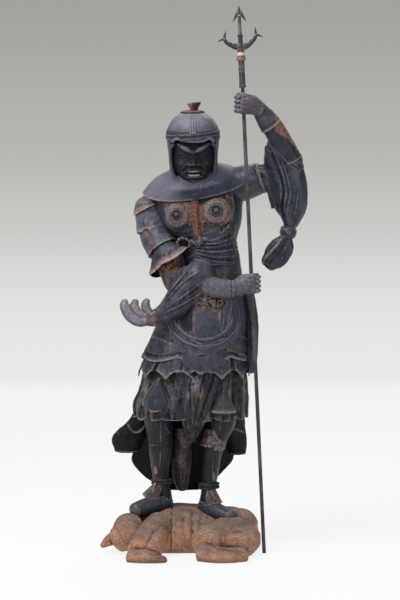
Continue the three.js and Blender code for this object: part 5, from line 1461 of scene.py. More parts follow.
def demon():
    """The demon lying on its belly: round head with combed hair, folded arm, ribs, haunch and long foot. Its
    underside is flat and its back is cut to the shoes."""
    space = demon_frame()

    def grain(s, seed=120):
        return {
            "bloom_and_highlight": 1.1 * soft_step(5.0, 8.6, s.z + 1.1 * s.bumps(5, seed))
                + 0.3 * s.mottle(2.6, seed + 1, 0.2, 1),
            "worn": 0.3 * s.mottle(2.4, seed + 2, 0.3, 1), "rust": 0.35 * s.mottle(4, seed + 3, -0.1, 0.8),
            "line": 0.2 * s.mottle(0.9, seed + 4, 0.75, 1, 2)}

    def part(rows, ends, seed, creases=(), deep=1.6, wide=0.35, lumps=0.9, size=3.2, **options):
        """One limb of the demon, with creases along the given lines."""
        # Painted shade in the creases and on the lowest part, next to the floor.
        def tint(s):
            return {
                **grain(s, seed),
                "shade_and_grime": np.clip(0.5 * s.lines(creases, wide * 0.8) + 0.5 * soft_step(1.6, 0, s.z), 0, 1)}
        return limb(
            space, rows, ends=ends, paint=tint, rough=0.15,
            carve=lambda s: lumps * s.bumps(size, seed) - deep * s.lines(creases, wide), **options)

    split = [(-3.35, 10.4), (-3.3, 6), (-3.35, 0.6)]
    ribs = [[(-0.6, 9.8), (-0.4, 6), (0.3, 2)], [(1.8, 9.6), (1.6, 6.4), (2.4, 3)],
            [(4.1, 9.4), (3.6, 6.5), (4.2, 3.6)], [(-5.9, 8.6), (-5.3, 5), (-5.1, 2)]]
    body = limb(
        space, [(16.4, -1.5, 4.2, 4.2, 5), (13.2, -0.6, 3.6, 6.2, 8.6), (8, 0.6, 3.2, 6.8, 10.4),
                (1, 1, 3.3, 7.2, 11), (-5, 0.6, 3.4, 7.1, 11), (-10, -0.4, 3.2, 6.4, 10.2),
                (-14, -1.8, 3.2, 4.6, 8)],
        ends=(0.3, 0.3), fine=1.1, rough=0.3,
        carve=lambda s: 0.9 * s.bumps(4, 121) - 0.9 * s.lines(ribs, 0.6, 0.5) - 1.8 * s.stroke(split, 0.08),
        # Painted shade in the split and near the floor.
        paint=lambda s: {
            **grain(s), "shade_and_grime": 0.6 * s.stroke(split, 0.08) + 0.5 * soft_step(2.4, 0, s.z),
            "worn": 1.1 * s.mottle(2, 117, -0.9, 0.6), "rust": 0.5,
            "line": 0.6 * s.mottle(1.3, 119, 0, 0.8, 0.35)})

    def combed(s):
        sweep = 3.1 * (s.z - 4) + 1.2 * (s.x + 14) + 0.5 * s.bumps(3, 122)
        return 0.4 * np.cos(3.4 * sweep) + 0.25 * np.cos(7.7 * sweep + 1)

    head = limb(
        space, [(-11.6, -6.2, 5.3, 4.5, 4.6), (-13.8, -7.2, 4.5, 4.9, 5.4), (-16.2, -8, 3.2, 3.2, 3.8)],
        ends=(0.3, 0.5), fine=1.7, carve=combed, rough=0.2,
        # Painted shade in the grooves of the combed hair.
        paint=lambda s: {
            **grain(s, 125), "shade_and_grime": 0.35 * np.clip(-combed(s), 0, 1),
            "worn": 0.1 + 0.4 * np.clip(combed(s), 0, 1)})
    ear = part(
        [(-15.6, -6.6, 4.4, 2.0, 1.8), (-18.6, -7, 2.8, 1.4, 1.3), (-20.4, -7.2, 1.5, 0.6, 0.7)], (0, 0.5),
        127, [[(-16, 4.6), (-19.6, 2.2)]], 0.8, 0.2, 0.3, 1, fine=1.5)
    upper_arm = part(
        [(-6.2, -7.6, 6.8, 3.4, 3.6), (-8.8, -12.4, 4.8, 3.2, 3.6), (-11.2, -16.4, 2.2, 2.6, 3.0)],
        (0.4, 0.6), 129, [[(-7.6, 6.6), (-8.6, 4.6), (-8.9, 1.6)]], 0.8, 0.3, fine=1.3)
    inner_arm = part(
        [(-6.4, -9.4, 5.6, 2.6, 3.2), (-7.4, -13.4, 3.8, 2.6, 3.2), (-8.2, -16.4, 1.6, 2.8, 2.8)],
        (0.4, 0.5), 128, fine=1.3)
    forearm = part(
        [(-12.2, -18.2, 1.0, 2.0, 3.0), (-9, -19.4, 1.0, 1.9, 2.8), (-5.6, -19.2, 0.3, 1.1, 2.3)],
        (0.6, 0.9), 131, [[(-8.2, z + 0.25), (-4.4, z - 0.3)] for z in (0.6, 1.25, 1.85)], 0.9, 0.13, 0.6,
        2.4, fine=1.6)
    haunch = part(
        [(13.6, -5, 4.0, 4.6, 5), (9.0, -10, 3.8, 4.9, 5.6), (5.4, -13.6, 3.4, 4.4, 4.6)], (0.4, 0.6), 133,
        [[(8.6, 5.4), (8.9, 3.4), (7.4, 1.2)]], 1.1, 0.4, fine=1.2)
    shin = part(
        [(4.8, -16.6, 1.4, 2.6, 3.8), (9, -18.4, 1.0, 2.2, 3.6), (13.6, -16.8, 1.0, 2.0, 3.4)], (0.5, 0.5),
        135, [[(8.2, 2.9), (11, 2.7), (14.5, 2.2)]], 0.9, 0.25, 0.8, 2.6, fine=1.4)
    rump = part(
        [(11.8, -2.4, 7.6, 2.2, 3.4), (14.6, -3, 7.6, 2.4, 3.8), (16.2, -3.6, 5.8, 2.2, 4)], (0.4, 0.4), 137,
        [[(13.2, 9.6), (14.0, 7.6), (13.4, 5.8)]], 1.0, 0.3, 0.9, 2.4, fine=1.3)
    hind = part(
        [(8.6, -11.6, 3.4, 4.4, 4.8), (13, -11, 3.2, 4.2, 4.6), (15.0, -8.4, 3.5, 3.6, 4.4)], (0.5, 0.5),
        139, lumps=1.1, size=2.6, fine=1.3)
    reach = 3 * sizes().demon_length
    floor_cut = turned(Frame(1.0, Matrix()), [(0, -reach), (reach, -reach), (reach, 0), (0, 0)], 24)
    return joined(
        "demon_carving", [body, head, ear, upper_arm, inner_arm, forearm, haunch, shin, rump, hind],
        [floor_cut, shoes(sizes().clearance), shaft_room()])


def dressed_sleeve():
    """The sleeve below the trident: a wrapped, pitted tube with a thicker foot ring."""
    _, _, foot = staff_levels()
    bore, wall, length = bore_radius(), 0.0025, sizes().sleeve_length
    radius, ring = bore + wall, 1.15 * (bore + wall)
    side = [(radius, foot + length * share) for share in np.linspace(0.09, 1, 60)]
    profile = [(bore, foot), (ring, foot), (ring, foot + 0.06 * length)] + side + [(bore, foot + length)]

    def pits(angle, height):
        """Coarse and fine pits, as noise read on a cylinder of about the sleeve's size."""
        reach = 0.007
        here = np.stack(np.broadcast_arrays(np.cos(angle) * reach, np.sin(angle) * reach, height), -1)
        return 0.00022 * ripple(here, 0.004, 151) + 0.00012 * ripple(here, 0.0018, 152)

    skin = turned(staff_frame(), profile, 72, {"worn": 0.3}, pits)
    return mesh_object("staff_sleeve_wrapped", skin)


def bead():
    """The gilt bead: a tan foot, a copper-red ring, a pale dome and a tan ring that meets the trident."""
    _, foot, _ = staff_levels()
    bore, wall, height = bore_radius(), 0.0067, sizes().bead_height
    outline = smooth_line(
        [(0.5, 0), (0.9, 0.1), (1, 0.22), (0.86, 0.34), (0.65, 0.42), (0.73, 0.52), (0.75, 0.6),
         (0.66, 0.78), (0.35, 1)],
        np.linspace(0, 1, 49))
    side = [(bore + a * wall, foot + b * height) for a, b in outline]
    profile = [(bore, foot)] + side + [(bore, foot + height)]
    rise = (np.array(profile)[:, 1:] - foot) / height
    masks = {
        "bloom_and_highlight": 0.95 * soft_step(0.5, 0.6, rise) * soft_step(0.9, 0.82, rise),
        "rust": bell(rise - 0.38, 0.1), "gilt": 1 - soft_step(0.25, 0.35, rise) * soft_step(0.9, 0.8, rise)}
    return mesh_object("staff_bead_turned", turned(staff_frame(), profile, 72, masks))


def trident():
    """Three barbed prongs on a domed socket. The middle shank has a small ring, and scallops run along the
    upper edges of the two side prongs."""
    socket, _, _ = staff_levels()
    s = sizes()
    staff = staff_frame()
    unit, spread = s.trident_height / 100, s.trident_span / s.trident_height
    space = Frame(unit, staff.matrix @ Matrix.Translation((0, 0, socket)))
    bore, wall = bore_radius(), 0.0052
    cup = socket + SOCKET_DEPTH + s.clearance

    def rise(share):
        return socket + share * unit

    dome = smooth_line(
        [(bore + 0.8 * wall, socket), (bore + 0.95 * wall, socket + 0.003), (bore + wall, cup),
         (11.6 * unit, rise(9.6)), (8.2 * unit, rise(13)), (6 * unit, rise(17)), (5 * unit, rise(24)),
         (5 * unit, rise(30.6)), (6.8 * unit, rise(34)), (4.5 * unit, rise(37.4)), (4.2 * unit, rise(42)),
         (3.8 * unit, rise(60)), (3.4 * unit, rise(78))],
        np.linspace(0, 1, 97))
    profile = [(0, socket)] + [tuple(p) for p in dome] + [(0, rise(84))]
    height = (np.array(profile)[:, 1:] - socket) / unit
    foot = soft_step(11, 7.5, height)
    shank = turned(
        staff, profile, 64,
        {
            "gilt": 0.8 * soft_step(37, 42, height) * soft_step(66, 58, height) + 0.35 * foot,
            "rust": 0.3 * foot, "shade_and_grime": 0.3 * soft_step(9, 13, height) * soft_step(20, 16, height)},
        lambda angle, height: 0.0005 * np.cos(12 * angle) * soft_step(rise(11), rise(8), height)
            * soft_step(rise(1), rise(5), height))

    def at(x, z, across, deep=None):
        return (x * spread, 0, z, across, across if deep is None else deep)

    look = {"fine": 2.4, "rough": 0.06, "paint": {"blue": 0.4}}
    head = limb(space, [at(0, 100, 0.5), at(0, 92, 3.4, 1.6), at(0, 80, 7, 2)], ends=(0.4, 0), **look)
    barbs = [
        limb(space, [at(k * 2, 91, 2.0, 1.2), at(k * 6.4, 79.6, 3.4, 1.5), at(k * 14.8, 65.3, 0.4)], **look)
        for k in (-1, 1)]
    prongs = []
    for k in (-1, 1):
        fork = 32 + 3 * k
        prongs += [
            limb(
                space,
                [
                    at(k, 10, 8), at(k * 12, 11, 6.6), at(k * 22, 16.5 + k, 5.2),
                    at(k * 30, 23 + 2.6 * k, 4.4), at(k * 36, fork, 3.2)],
                carve=lambda p, k=k: 2.2 * (np.abs(np.cos(np.pi * p.along * 3.5)) - 0.8)
                    * p.turn(0 if k > 0 else 180, 60),
                **look),
            limb(
                space,
                [
                    at(k * 35, fork - 2, 3.2), at(k * 34, fork + 6, 2.7, 1.8),
                    at(k * 32.2 + 1.4, fork + 18, 0.4)],
                **look),
            limb(
                space, [at(k * 34, fork + 1, 2.8), at(k * 42, fork - 2, 2), at(k * 50, fork - 5.5, 0.4)],
                **look)]
    low = socket - CUT_PAST
    bore_room = turned(staff, [(0, low), (bore, low), (bore, cup), (0, cup)], BORE_SIDES)
    return joined("trident_forged", [shank, head, barbs, prongs], [bore_room])


def shaft():
    """The thin shaft, a plain cylinder from the floor into the trident's socket."""
    length, radius = shaft_length(), sizes().shaft_diameter / 2
    side = [(radius, length * share) for share in np.linspace(0.001, 0.999, 90)]
    profile = [(0, 0), (radius, 0), *side, (radius, length), (0, length)]
    return mesh_object("staff_shaft_turned", turned(staff_frame(), profile, BORE_SIDES))


def finial():
    """A thin scalloped plate on the crown, and the snapped-off stub of the ornament that stood there."""
    space = head_frame()
    radius = sizes().finial_diameter / 2 / space.unit
    foot = CROWN_LEVEL + sizes().clearance / space.unit
    plate = limb(
        space, [(2.2, -1.2, foot + 0.6, radius * 0.5, radius * 0.5),
                (2.2, -1.2, foot + 0.42, radius * 0.8, radius * 0.8), (2.2, -1.2, foot, radius, radius)],
        level=True, rough=0.05, fine=2,
        # The plate's top is pale as painted highlight and its rim dark as painted shade.
        paint=lambda s: {"shade_and_grime": soft_step(0.45, 0.75, s.along), "bloom_and_highlight": 0.9},
        swell=lambda s: 1 + 0.06 * np.cos(8 * s.angle), carve=lambda s: 0.9 * np.cos(8 * s.angle) * s.along)
    stub = limb(
        space, [(2.6, -1.2, foot + 0.3, 0.8, 0.8), (2.6, -1.2, foot + 0.9, 1.0, 0.9),
                (2.6, -1.2, foot + 2.3, 1.7, 1.4)],
        level=True, ends=(0, -0.1), fine=2.6,
        hem=lambda s: -0.12 * np.cos(s.angle) + 0.12 * s.bumps(0.6, 160),
        carve=lambda s: 0.35 * s.bumps(0.9, 161) + 0.25 * s.bumps(0.4, 162, 0.3),
        # The stub is reddish on its left and darker on its right.
        paint=lambda s: {
            "rust": soft_step(2.6, 1.4, s.x + 0.2 * s.bumps(0.8, 163)),
            "shade_and_grime": 0.9 * soft_step(1.7, 2.6, s.x + 0.2 * s.bumps(0.6, 164))})
    return joined("finial_stub", [plate, stub])


# Finishes


class Tree:
    """A small helper that adds shader nodes to a node tree and links them."""

    def __init__(self, tree):
        self.tree = tree

    def add(self, kind, inputs=None, **settings):
        made = self.tree.nodes.new(kind)
        for name, value in settings.items():
            setattr(made, name, value)
        for name, value in (inputs or {}).items():
            self.feed(made.inputs[name], value)
        return made

    def feed(self, socket, value):
        if isinstance(value, bpy.types.NodeSocket):
            self.tree.links.new(value, socket)
        elif hasattr(value, "__len__") and len(value) == 3 and socket.type == "RGBA":
            socket.default_value = (*value, 1.0)
        else:
            socket.default_value = value

    def mix(self, factor, a, b):
        """Colour a, turned into colour b by the factor."""
        made = self.add("ShaderNodeMix", data_type="RGBA")
        factor_socket, a_socket, b_socket, result_socket = 0, 6, 7, 2  # as the node numbers them for colours
        for k, value in ((factor_socket, factor), (a_socket, a), (b_socket, b)):
            self.feed(made.inputs[k], value)
        return made.outputs[result_socket]

    def math(self, operation, a, b, clamp=False):
        made = self.add("ShaderNodeMath", operation=operation, use_clamp=clamp)
        self.feed(made.inputs[0], a)
        self.feed(made.inputs[1], b)
        return made.outputs[0]

    def times(self, a, b, clamp=False):
        return self.math("MULTIPLY", a, b, clamp)

    def plus(self, a, b):
        return self.math("ADD", a, b)

    def between(self, value, low, high, to_low=0.0, to_high=1.0):
        """An S from to_low at low to to_high at high."""
        made = self.add("ShaderNodeMapRange", interpolation_type="SMOOTHSTEP")
        for k, v in enumerate((value, low, high, to_low, to_high)):
            self.feed(made.inputs[k], v)
        return made.outputs[0]

    def noise(self, where, scale, detail=3.0, roughness=0.55):
        made = self.add(
            "ShaderNodeTexNoise",
            {"Vector": where, "Scale": scale, "Detail": detail, "Roughness": roughness})
        return made.outputs["Fac"]

    def stretched(self, where, along):
        """The place squeezed along an axis, so that a texture runs along it as grain does."""
        made = self.add("ShaderNodeMapping", {"Vector": where, "Scale": along})
        return made.outputs["Vector"]


def weathering():
    """The ageing that several finishes share, as one node group: slow patches, fine speckle, fine cracks and
    grain along z. Each is a mask from 0 to 1."""
    known = bpy.data.node_groups.get("weathering")
    if known:
        return known
    group = bpy.data.node_groups.new("weathering", "ShaderNodeTree")
    group.interface.new_socket("Place", in_out="INPUT", socket_type="NodeSocketVector")
    for name in ("Patches", "Speckle", "Cracks", "Grain"):
        group.interface.new_socket(name, in_out="OUTPUT", socket_type="NodeSocketFloat")
    t = Tree(group)
    place = t.add("NodeGroupInput").outputs["Place"]
    out = t.add("NodeGroupOutput")
    patches = t.between(t.noise(place, 16.0, 4.0), 0.38, 0.64)
    speckle = t.noise(place, 240.0, 5.0, 0.62)
    cells = t.add("ShaderNodeTexVoronoi", {"Vector": place, "Scale": 210.0}, feature="DISTANCE_TO_EDGE")
    cracks = t.between(cells.outputs["Distance"], 0.0, 0.05, 1.0, 0.0)
    grain = t.noise(t.stretched(place, (1.0, 1.0, 0.09)), 190.0, 4.0, 0.6)
    for name, value in (("Patches", patches), ("Speckle", speckle), ("Cracks", cracks), ("Grain", grain)):
        t.feed(out.inputs[name], value)
    return group


def new_finish(name):
    """A material with its shader, the ageing masks and the masks that the carving carries."""
    material = bpy.data.materials.new(name)
    material.use_nodes = True
    t = Tree(material.node_tree)
    shader = material.node_tree.nodes["Principled BSDF"]
    place = t.add("ShaderNodeTexCoord").outputs["Object"]
    aged = t.add("ShaderNodeGroup", node_tree=weathering())
    t.feed(aged.inputs["Place"], place)
    masks = {}
    for attribute, names in (("paint", PAINT), ("wear", WEAR_AND_SHADE)):
        read = t.add("ShaderNodeAttribute", attribute_name=attribute, attribute_type="GEOMETRY")
        split = t.add("ShaderNodeSeparateColor", {"Color": read.outputs["Color"]})
        masks.update(zip(names, (*split.outputs[:3], read.outputs["Alpha"])))
    return material, t, shader, place, aged.outputs, masks


def bump(t, shader, height, depth, strength=1.0):
    made = t.add("ShaderNodeBump", {"Height": height, "Distance": depth, "Strength": strength})
    t.feed(shader.inputs["Normal"], made.outputs["Normal"])


def painted_wood():
    """Blue-black paint over wood: rubbed brown on edges, pale and dusty where it faces up, with painted
    highlight there and on lit sides, gilt and rust where the carving says so, pale along seams, and painted
    shade in hollows."""
    c = colours()
    material, t, shader, place, aged, masks = new_finish("worn_painted_wood")
    broad = t.noise(place, 9.0, 4.0)
    blue = t.times(masks["blue"], t.between(t.noise(place, 34.0, 5.0), 0.3, 0.62, 0.45, 1.0))
    tone = t.mix(blue, c.black_paint, c.blue_paint)
    tone = t.mix(t.between(broad, 0.5, 0.72, 0.0, 0.15), tone, c.worn_wood)
    tone = t.mix(t.between(aged["Grain"], 0.5, 0.75, 0.0, 0.35), tone, c.black_paint)
    rubbed = t.between(t.plus(masks["worn"], t.times(aged["Speckle"], 1.6)), 1.0, 1.5)
    wood = t.mix(aged["Grain"], [v * 0.45 for v in c.worn_wood], [v * 1.7 for v in c.worn_wood])
    tone = t.mix(t.times(rubbed, 0.65), tone, wood)
    rust = t.times(masks["rust"], t.between(aged["Speckle"], 0.34, 0.58, 0.25, 1.0))
    tone = t.mix(rust, tone, c.rust)
    gold = t.mix(aged["Patches"], c.gilding, [min(v * 1.45, 1) for v in c.gilding])
    gold = t.mix(t.between(aged["Speckle"], 0.5, 0.7, 0.0, 0.55), gold, c.worn_wood)
    tone = t.mix(t.times(masks["gilt"], t.between(aged["Speckle"], 0.7, 0.58, 0.55, 1.0)), tone, gold)
    # Pale dusty haze, and painted highlight on tops and lit sides.
    dust_and_highlight = t.times(masks["bloom_and_highlight"], t.between(aged["Speckle"], 0.3, 0.66, 0.55, 1.0))
    tone = t.mix(dust_and_highlight, tone, c.bloom_and_highlight)
    grazed = t.plus(t.times(masks["edge"], sizes().wear), aged["Speckle"])
    tone = t.mix(t.between(grazed, 0.75, 1.45, 0.0, 0.5), tone, c.bloom_and_highlight)
    seam = t.times(masks["line"], t.between(aged["Speckle"], 0.36, 0.56, 0.5, 1.6), clamp=True)
    tone = t.mix(seam, tone, c.pale_line)
    # Painted shade, with some grime: hollows darkened towards the black paint.
    hollow = t.times(masks["shade_and_grime"], 0.95)
    tone = t.mix(hollow, tone, c.black_paint)
    tone = t.mix(t.times(aged["Cracks"], 0.1), tone, c.black_paint)
    t.feed(shader.inputs["Base Color"], tone)
    t.feed(
        shader.inputs["Roughness"],
        t.between(t.plus(dust_and_highlight, t.times(aged["Speckle"], 0.7)), 0.2, 1.0, 0.42, 0.78))
    t.feed(shader.inputs["Coat Weight"], t.between(masks["shade_and_grime"], 0.0, 0.4, 0.32, 0.0))
    shader.inputs["Coat Roughness"].default_value = 0.36
    shader.inputs["Specular IOR Level"].default_value = 0.12
    height = t.times(aged["Cracks"], -0.3)
    height = t.plus(height, t.times(aged["Speckle"], 1.2))
    height = t.plus(height, t.times(aged["Grain"], 0.6))
    bump(t, shader, height, 0.0004)
    return material


def bare_wood(name, light, dark, grey):
    """Bare old wood: grain along its length, pale knocks on edges, a grey haze where dirt settled (on the
    finial's plate a painted highlight) and painted shade in its hollows.
    """
    material, t, shader, place, aged, masks = new_finish(name)
    along = t.noise(t.stretched(place, (0.16, 1.0, 1.0)), 120.0, 5.0, 0.62)
    tone = t.mix(t.between(along, 0.3, 0.62), dark, light)
    tone = t.mix(t.times(masks["rust"], 0.55), tone, [light[0] * 1.05, light[1] * 0.72, light[2] * 0.6])
    tone = t.mix(t.times(masks["worn"], 0.35), tone, [min(v * 1.5, 1) for v in light])
    tone = t.mix(t.between(aged["Patches"], 0.3, 0.9, 0.0, 0.3), tone, grey)
    # Grey haze of settled dirt; on the finial's plate, painted highlight.
    dust_and_highlight = t.times(masks["bloom_and_highlight"], t.between(aged["Speckle"], 0.28, 0.62, 0.35, 1.0), clamp=True)
    tone = t.mix(dust_and_highlight, tone, grey)
    pale = t.times(t.plus(masks["edge"], masks["line"]), t.between(aged["Speckle"], 0.45, 0.62), clamp=True)
    tone = t.mix(t.times(pale, 0.4), tone, [min(v * 1.5 + 0.12, 1) for v in light])
    tone = t.mix(t.between(aged["Speckle"], 0.42, 0.3, 0.0, 0.5), tone, dark)
    # Painted shade in creases, hollows and near the floor, with some grime.
    tone = t.mix(t.times(masks["shade_and_grime"], 0.9), tone, [v * 0.2 for v in dark])
    t.feed(shader.inputs["Base Color"], tone)
    t.feed(shader.inputs["Roughness"], t.between(along, 0.3, 0.7, 0.66, 0.85))
    shader.inputs["Specular IOR Level"].default_value = 0.3
    height = t.plus(t.times(along, 1.3), aged["Speckle"])
    bump(t, shader, height, 0.0005)
    return material


def lacquer(name, pitted=0.0):
    """Dark satin lacquer on wood, dusty in patches, and pitted where it is a wrapping."""
    c = colours()
    material, t, shader, _, aged, _ = new_finish(name)
    tone = t.mix(t.between(aged["Grain"], 0.35, 0.7), c.lacquer, [v * 1.9 + 0.01 for v in c.lacquer])
    tone = t.mix(t.between(aged["Patches"], 0.4, 1.0, 0.0, 0.14), tone, c.bloom_and_highlight)
    tone = t.mix(t.between(aged["Speckle"], 0.56, 0.7, 0.0, 0.25 + 0.6 * pitted), tone, c.pale_line)
    t.feed(shader.inputs["Base Color"], tone)
    t.feed(
        shader.inputs["Roughness"],
        t.between(aged["Speckle"], 0.3, 0.7, 0.32 + 0.3 * pitted, 0.52 + 0.3 * pitted))
    bump(t, shader, aged["Speckle"], 0.0003 + 0.0009 * pitted)
    return material


def metal(name, base, worn, shine, metallic):
    """Old metal: a dark skin rubbed to brighter metal, with copper, red and pale parts from its masks."""
    material, t, shader, _, aged, masks = new_finish(name)
    copper, red, pale = (0.26, 0.15, 0.11), (0.22, 0.085, 0.06), (0.60, 0.52, 0.48)
    tone = t.mix(t.between(aged["Patches"], 0.2, 0.9), base, worn)
    for mask, share, tint in (("gilt", 0.7, copper), ("rust", 0.75, red), ("bloom_and_highlight", 0.85, pale)):
        tone = t.mix(t.times(masks[mask], share), tone, tint)
    tone = t.mix(t.between(aged["Speckle"], 0.44, 0.32, 0.0, 0.6), tone, [v * 0.3 for v in base])
    t.feed(shader.inputs["Base Color"], tone)
    t.feed(shader.inputs["Roughness"], t.between(aged["Speckle"], 0.3, 0.7, shine, shine + 0.25))
    t.feed(shader.inputs["Metallic"], t.between(masks["bloom_and_highlight"], 0.0, 1.0, metallic, 0.1))
    bump(t, shader, aged["Speckle"], 0.0004)
    return material


# Operators, one for each piece or group of like pieces


def shared(name, make):
    """The finish of that name, made once."""
    return bpy.data.materials.get(name) or make()


def add_bloom_and_top_highlight(piece, amount):
    """Makes the skin paler where it faces up, as dusty haze and, on the guardian, as painted highlight from
    above: adds the amount times the S from 0.3 to 0.95 of the normal's z to its pale mask.
    """
    mesh = piece.data
    _, _, normals = read_skin(mesh)
    masks, bloom_and_highlight = read_masks(mesh, "paint"), PAINT.index("bloom_and_highlight")
    masks[:, bloom_and_highlight] = masks[:, bloom_and_highlight] + amount * soft_step(0.3, 0.95, normals[:, 2])
    write_masks(mesh, "paint", masks)


def carve_guardian(name, parts, cuts=()):
    piece = joined(name, parts, cuts)
    shade_hollows_and_mark_edges(piece)
    add_bloom_and_top_highlight(piece, 0.12)
    return finished(piece, "guardian_figure", shared("worn_painted_wood", painted_wood))


class LOKAPALA_OT_carve_head(Operator):
    """Carve the helmet and the face inside it"""

    bl_idname = "lokapala.carve_head"
    bl_label = "Carve the head"

    def execute(self, context):
        carve_guardian("guardian_head", [helmet(), face()])
        return {"FINISHED"}


class LOKAPALA_OT_carve_trunk(Operator):
    """Carve the chest, the shoulder cape and the sash"""

    bl_idname = "lokapala.carve_trunk"
    bl_label = "Carve the trunk"

    def execute(self, context):
        carve_guardian("guardian_trunk", trunk())
        return {"FINISHED"}


class LOKAPALA_OT_carve_skirts(Operator):
    """Carve the tassets, the apron and the skirts"""

    bl_idname = "lokapala.carve_skirts"
    bl_label = "Carve the skirts"

    def execute(self, context):
        carve_guardian("guardian_skirts", skirts(), [shaft_room()])
        return {"FINISHED"}


class LOKAPALA_OT_carve_hangings(Operator):
    """Carve the hanging cloth, the thigh guards and the cape"""

    bl_idname = "lokapala.carve_hangings"
    bl_label = "Carve the hangings"

    def execute(self, context):
        carve_guardian("guardian_hangings", hangings())
        return {"FINISHED"}


class LOKAPALA_OT_carve_legs(Operator):
    """Carve the legs and the shoes"""

    bl_idname = "lokapala.carve_legs"
    bl_label = "Carve the legs"

    def execute(self, context):
        carve_guardian("guardian_legs", legs())
        return {"FINISHED"}


class LOKAPALA_OT_carve_arms(Operator):
    """Carve both arms, their sleeves and the fists round the staff"""

    bl_idname = "lokapala.carve_arms"
    bl_label = "Carve the arms"

    def execute(self, context):
        carve_guardian("guardian_right_arm", right_arm(), [shaft_room()])
        carve_guardian("guardian_left_arm", left_arm(), [shaft_room()])
        return {"FINISHED"}


class LOKAPALA_OT_carve_demon(Operator):
    """Carve the demon that the guardian stands on"""

    bl_idname = "lokapala.carve_demon"
    bl_label = "Carve the demon"

    def execute(self, context):
        c = colours()
        piece = demon()
        shade_hollows_and_mark_edges(piece, 8, 60)
        add_bloom_and_top_highlight(piece, 0.65)
        finished(
            piece, "demon_plinth",
            bare_wood("orange_bare_wood", c.demon_wood, c.demon_shade, c.demon_bloom))
        return {"FINISHED"}


class LOKAPALA_OT_make_staff(Operator):
    """Make the shaft, its sleeve and bead, and the trident"""

    bl_idname = "lokapala.make_staff"
    bl_label = "Make the staff"

    def execute(self, context):
        c = colours()
        finished(shaft(), "staff_shaft", lacquer("dark_lacquer"))
        finished(dressed_sleeve(), "staff_sleeve", lacquer("pitted_wrapping", 1.0))
        finished(
            bead(), "staff_bead",
            metal("gilt_copper_worn", c.gilt_copper, (0.2, 0.13, 0.11), 0.4, 0.3))
        finished(
            trident(), "trident_head",
            metal("dark_iron_worn", c.iron, [v * 1.8 for v in c.iron], 0.45, 0.3))
        return {"FINISHED"}


class LOKAPALA_OT_carve_finial(Operator):
    """Carve the helmet's plate and the broken stub on it"""

    bl_idname = "lokapala.carve_finial"
    bl_label = "Carve the finial"

    def execute(self, context):
        c = colours()
        piece = finial()
        shade_hollows_and_mark_edges(piece, 3, 10)
        finished(
            piece, "helmet_finial",
            bare_wood("broken_brown_wood", (0.34, 0.15, 0.09), (0.05, 0.03, 0.03), c.demon_bloom))
        return {"FINISHED"}


class LOKAPALA_OT_set_stage(Operator):
    """Set the camera, the lamps, the floor and the backdrop"""

    bl_idname = "lokapala.set_stage"
    bl_label = "Set the stage"

    def execute(self, context):
        set_camera(context.scene)
        set_lamps(context.scene)
        set_backdrop(context.scene)
        return {"FINISHED"}


def set_camera(scene):
    s = studio()
    data = bpy.data.cameras.new("camera")
    camera = bpy.data.objects.new("camera", data)
    scene.collection.objects.link(camera)
    scene.camera = camera
    camera.location = (s.camera_side, -s.camera_distance, s.camera_height)
    camera.rotation_euler = (np.pi / 2 - s.horizon_drop, 0, 0)
    data.sensor_width = 36.0  # millimetres, as the lens
    data.lens = data.sensor_width * s.camera_distance / s.view_height
    data.clip_end = 60.0
    data.dof.use_dof = False


def set_lamps(scene):
    s = studio()
    aim = Vector((0.03, 0, 0.65))  # the middle of the figure
    lamps = (("top_lamp", (-1.1, -1.3, 3.0), 1.6, s.top_light),
             ("left_lamp", (-2.6, -2.2, 1.5), 1.6, s.side_light),
             ("right_lamp", (2.6, -1.9, 1.4), 1.6, s.side_light * 0.9),
             ("back_lamp", (0.6, 2.0, 2.4), 1.8, s.side_light))
    for name, place, size, power in lamps:
        lamp = bpy.data.lights.new(name, "AREA")
        lamp.energy, lamp.size = power, size
        holder = bpy.data.objects.new(name, lamp)
        scene.collection.objects.link(holder)
        holder.location = place
        holder.rotation_euler = (aim - Vector(place)).to_track_quat("-Z", "Y").to_euler()
    world = bpy.data.worlds.new("studio_air")
    scene.world = world
    world.use_nodes = True
    background = world.node_tree.nodes["Background"]
    background.inputs["Color"].default_value = (0.97, 0.98, 1.0, 1.0)
    background.inputs["Strength"].default_value = s.air_light
    scene.view_settings.view_transform = "Standard"


def set_backdrop(scene):
    """A floor that rises in a flat bend to a wall so far behind the figure that a camera behind the figure
    still sees it. The paper glows, and its glow fades upwards on the wall as painted shade."""
    start, run, rise, low, edge = 4.0, 4.6, 1.2, -0.0005, 6.0
    turn = np.linspace(0, np.pi / 2, 16)
    bend = [(start + run * np.sin(a), rise * (1 - np.cos(a)) + low) for a in turn]
    profile = [(-edge, low), (2.0, low), *bend, (start + run, edge)]
    points = [(x, y, z) for y, z in profile for x in (-edge, edge)]
    faces = [(2 * k, 2 * k + 1, 2 * k + 3, 2 * k + 2) for k in range(len(profile) - 1)]
    mesh = bpy.data.meshes.new("backdrop")
    mesh.from_pydata(points, [], faces)
    mesh.shade_smooth()
    sweep = bpy.data.objects.new("backdrop", mesh)
    scene.collection.objects.link(sweep)
    mesh.materials.append(backdrop_paper())


# How much of the floor's white is left in the backdrop at each height in metres: painted shade that
# darkens the glowing wall upwards
BACKDROP_FADE = ((0.0, 1.0), (0.011, 0.88), (0.2, 0.82), (0.46, 0.65), (0.78, 0.46), (1.12, 0.3),
                 (1.45, 0.18), (1.79, 0.12), (2.13, 0.05), (2.51, 0.0))


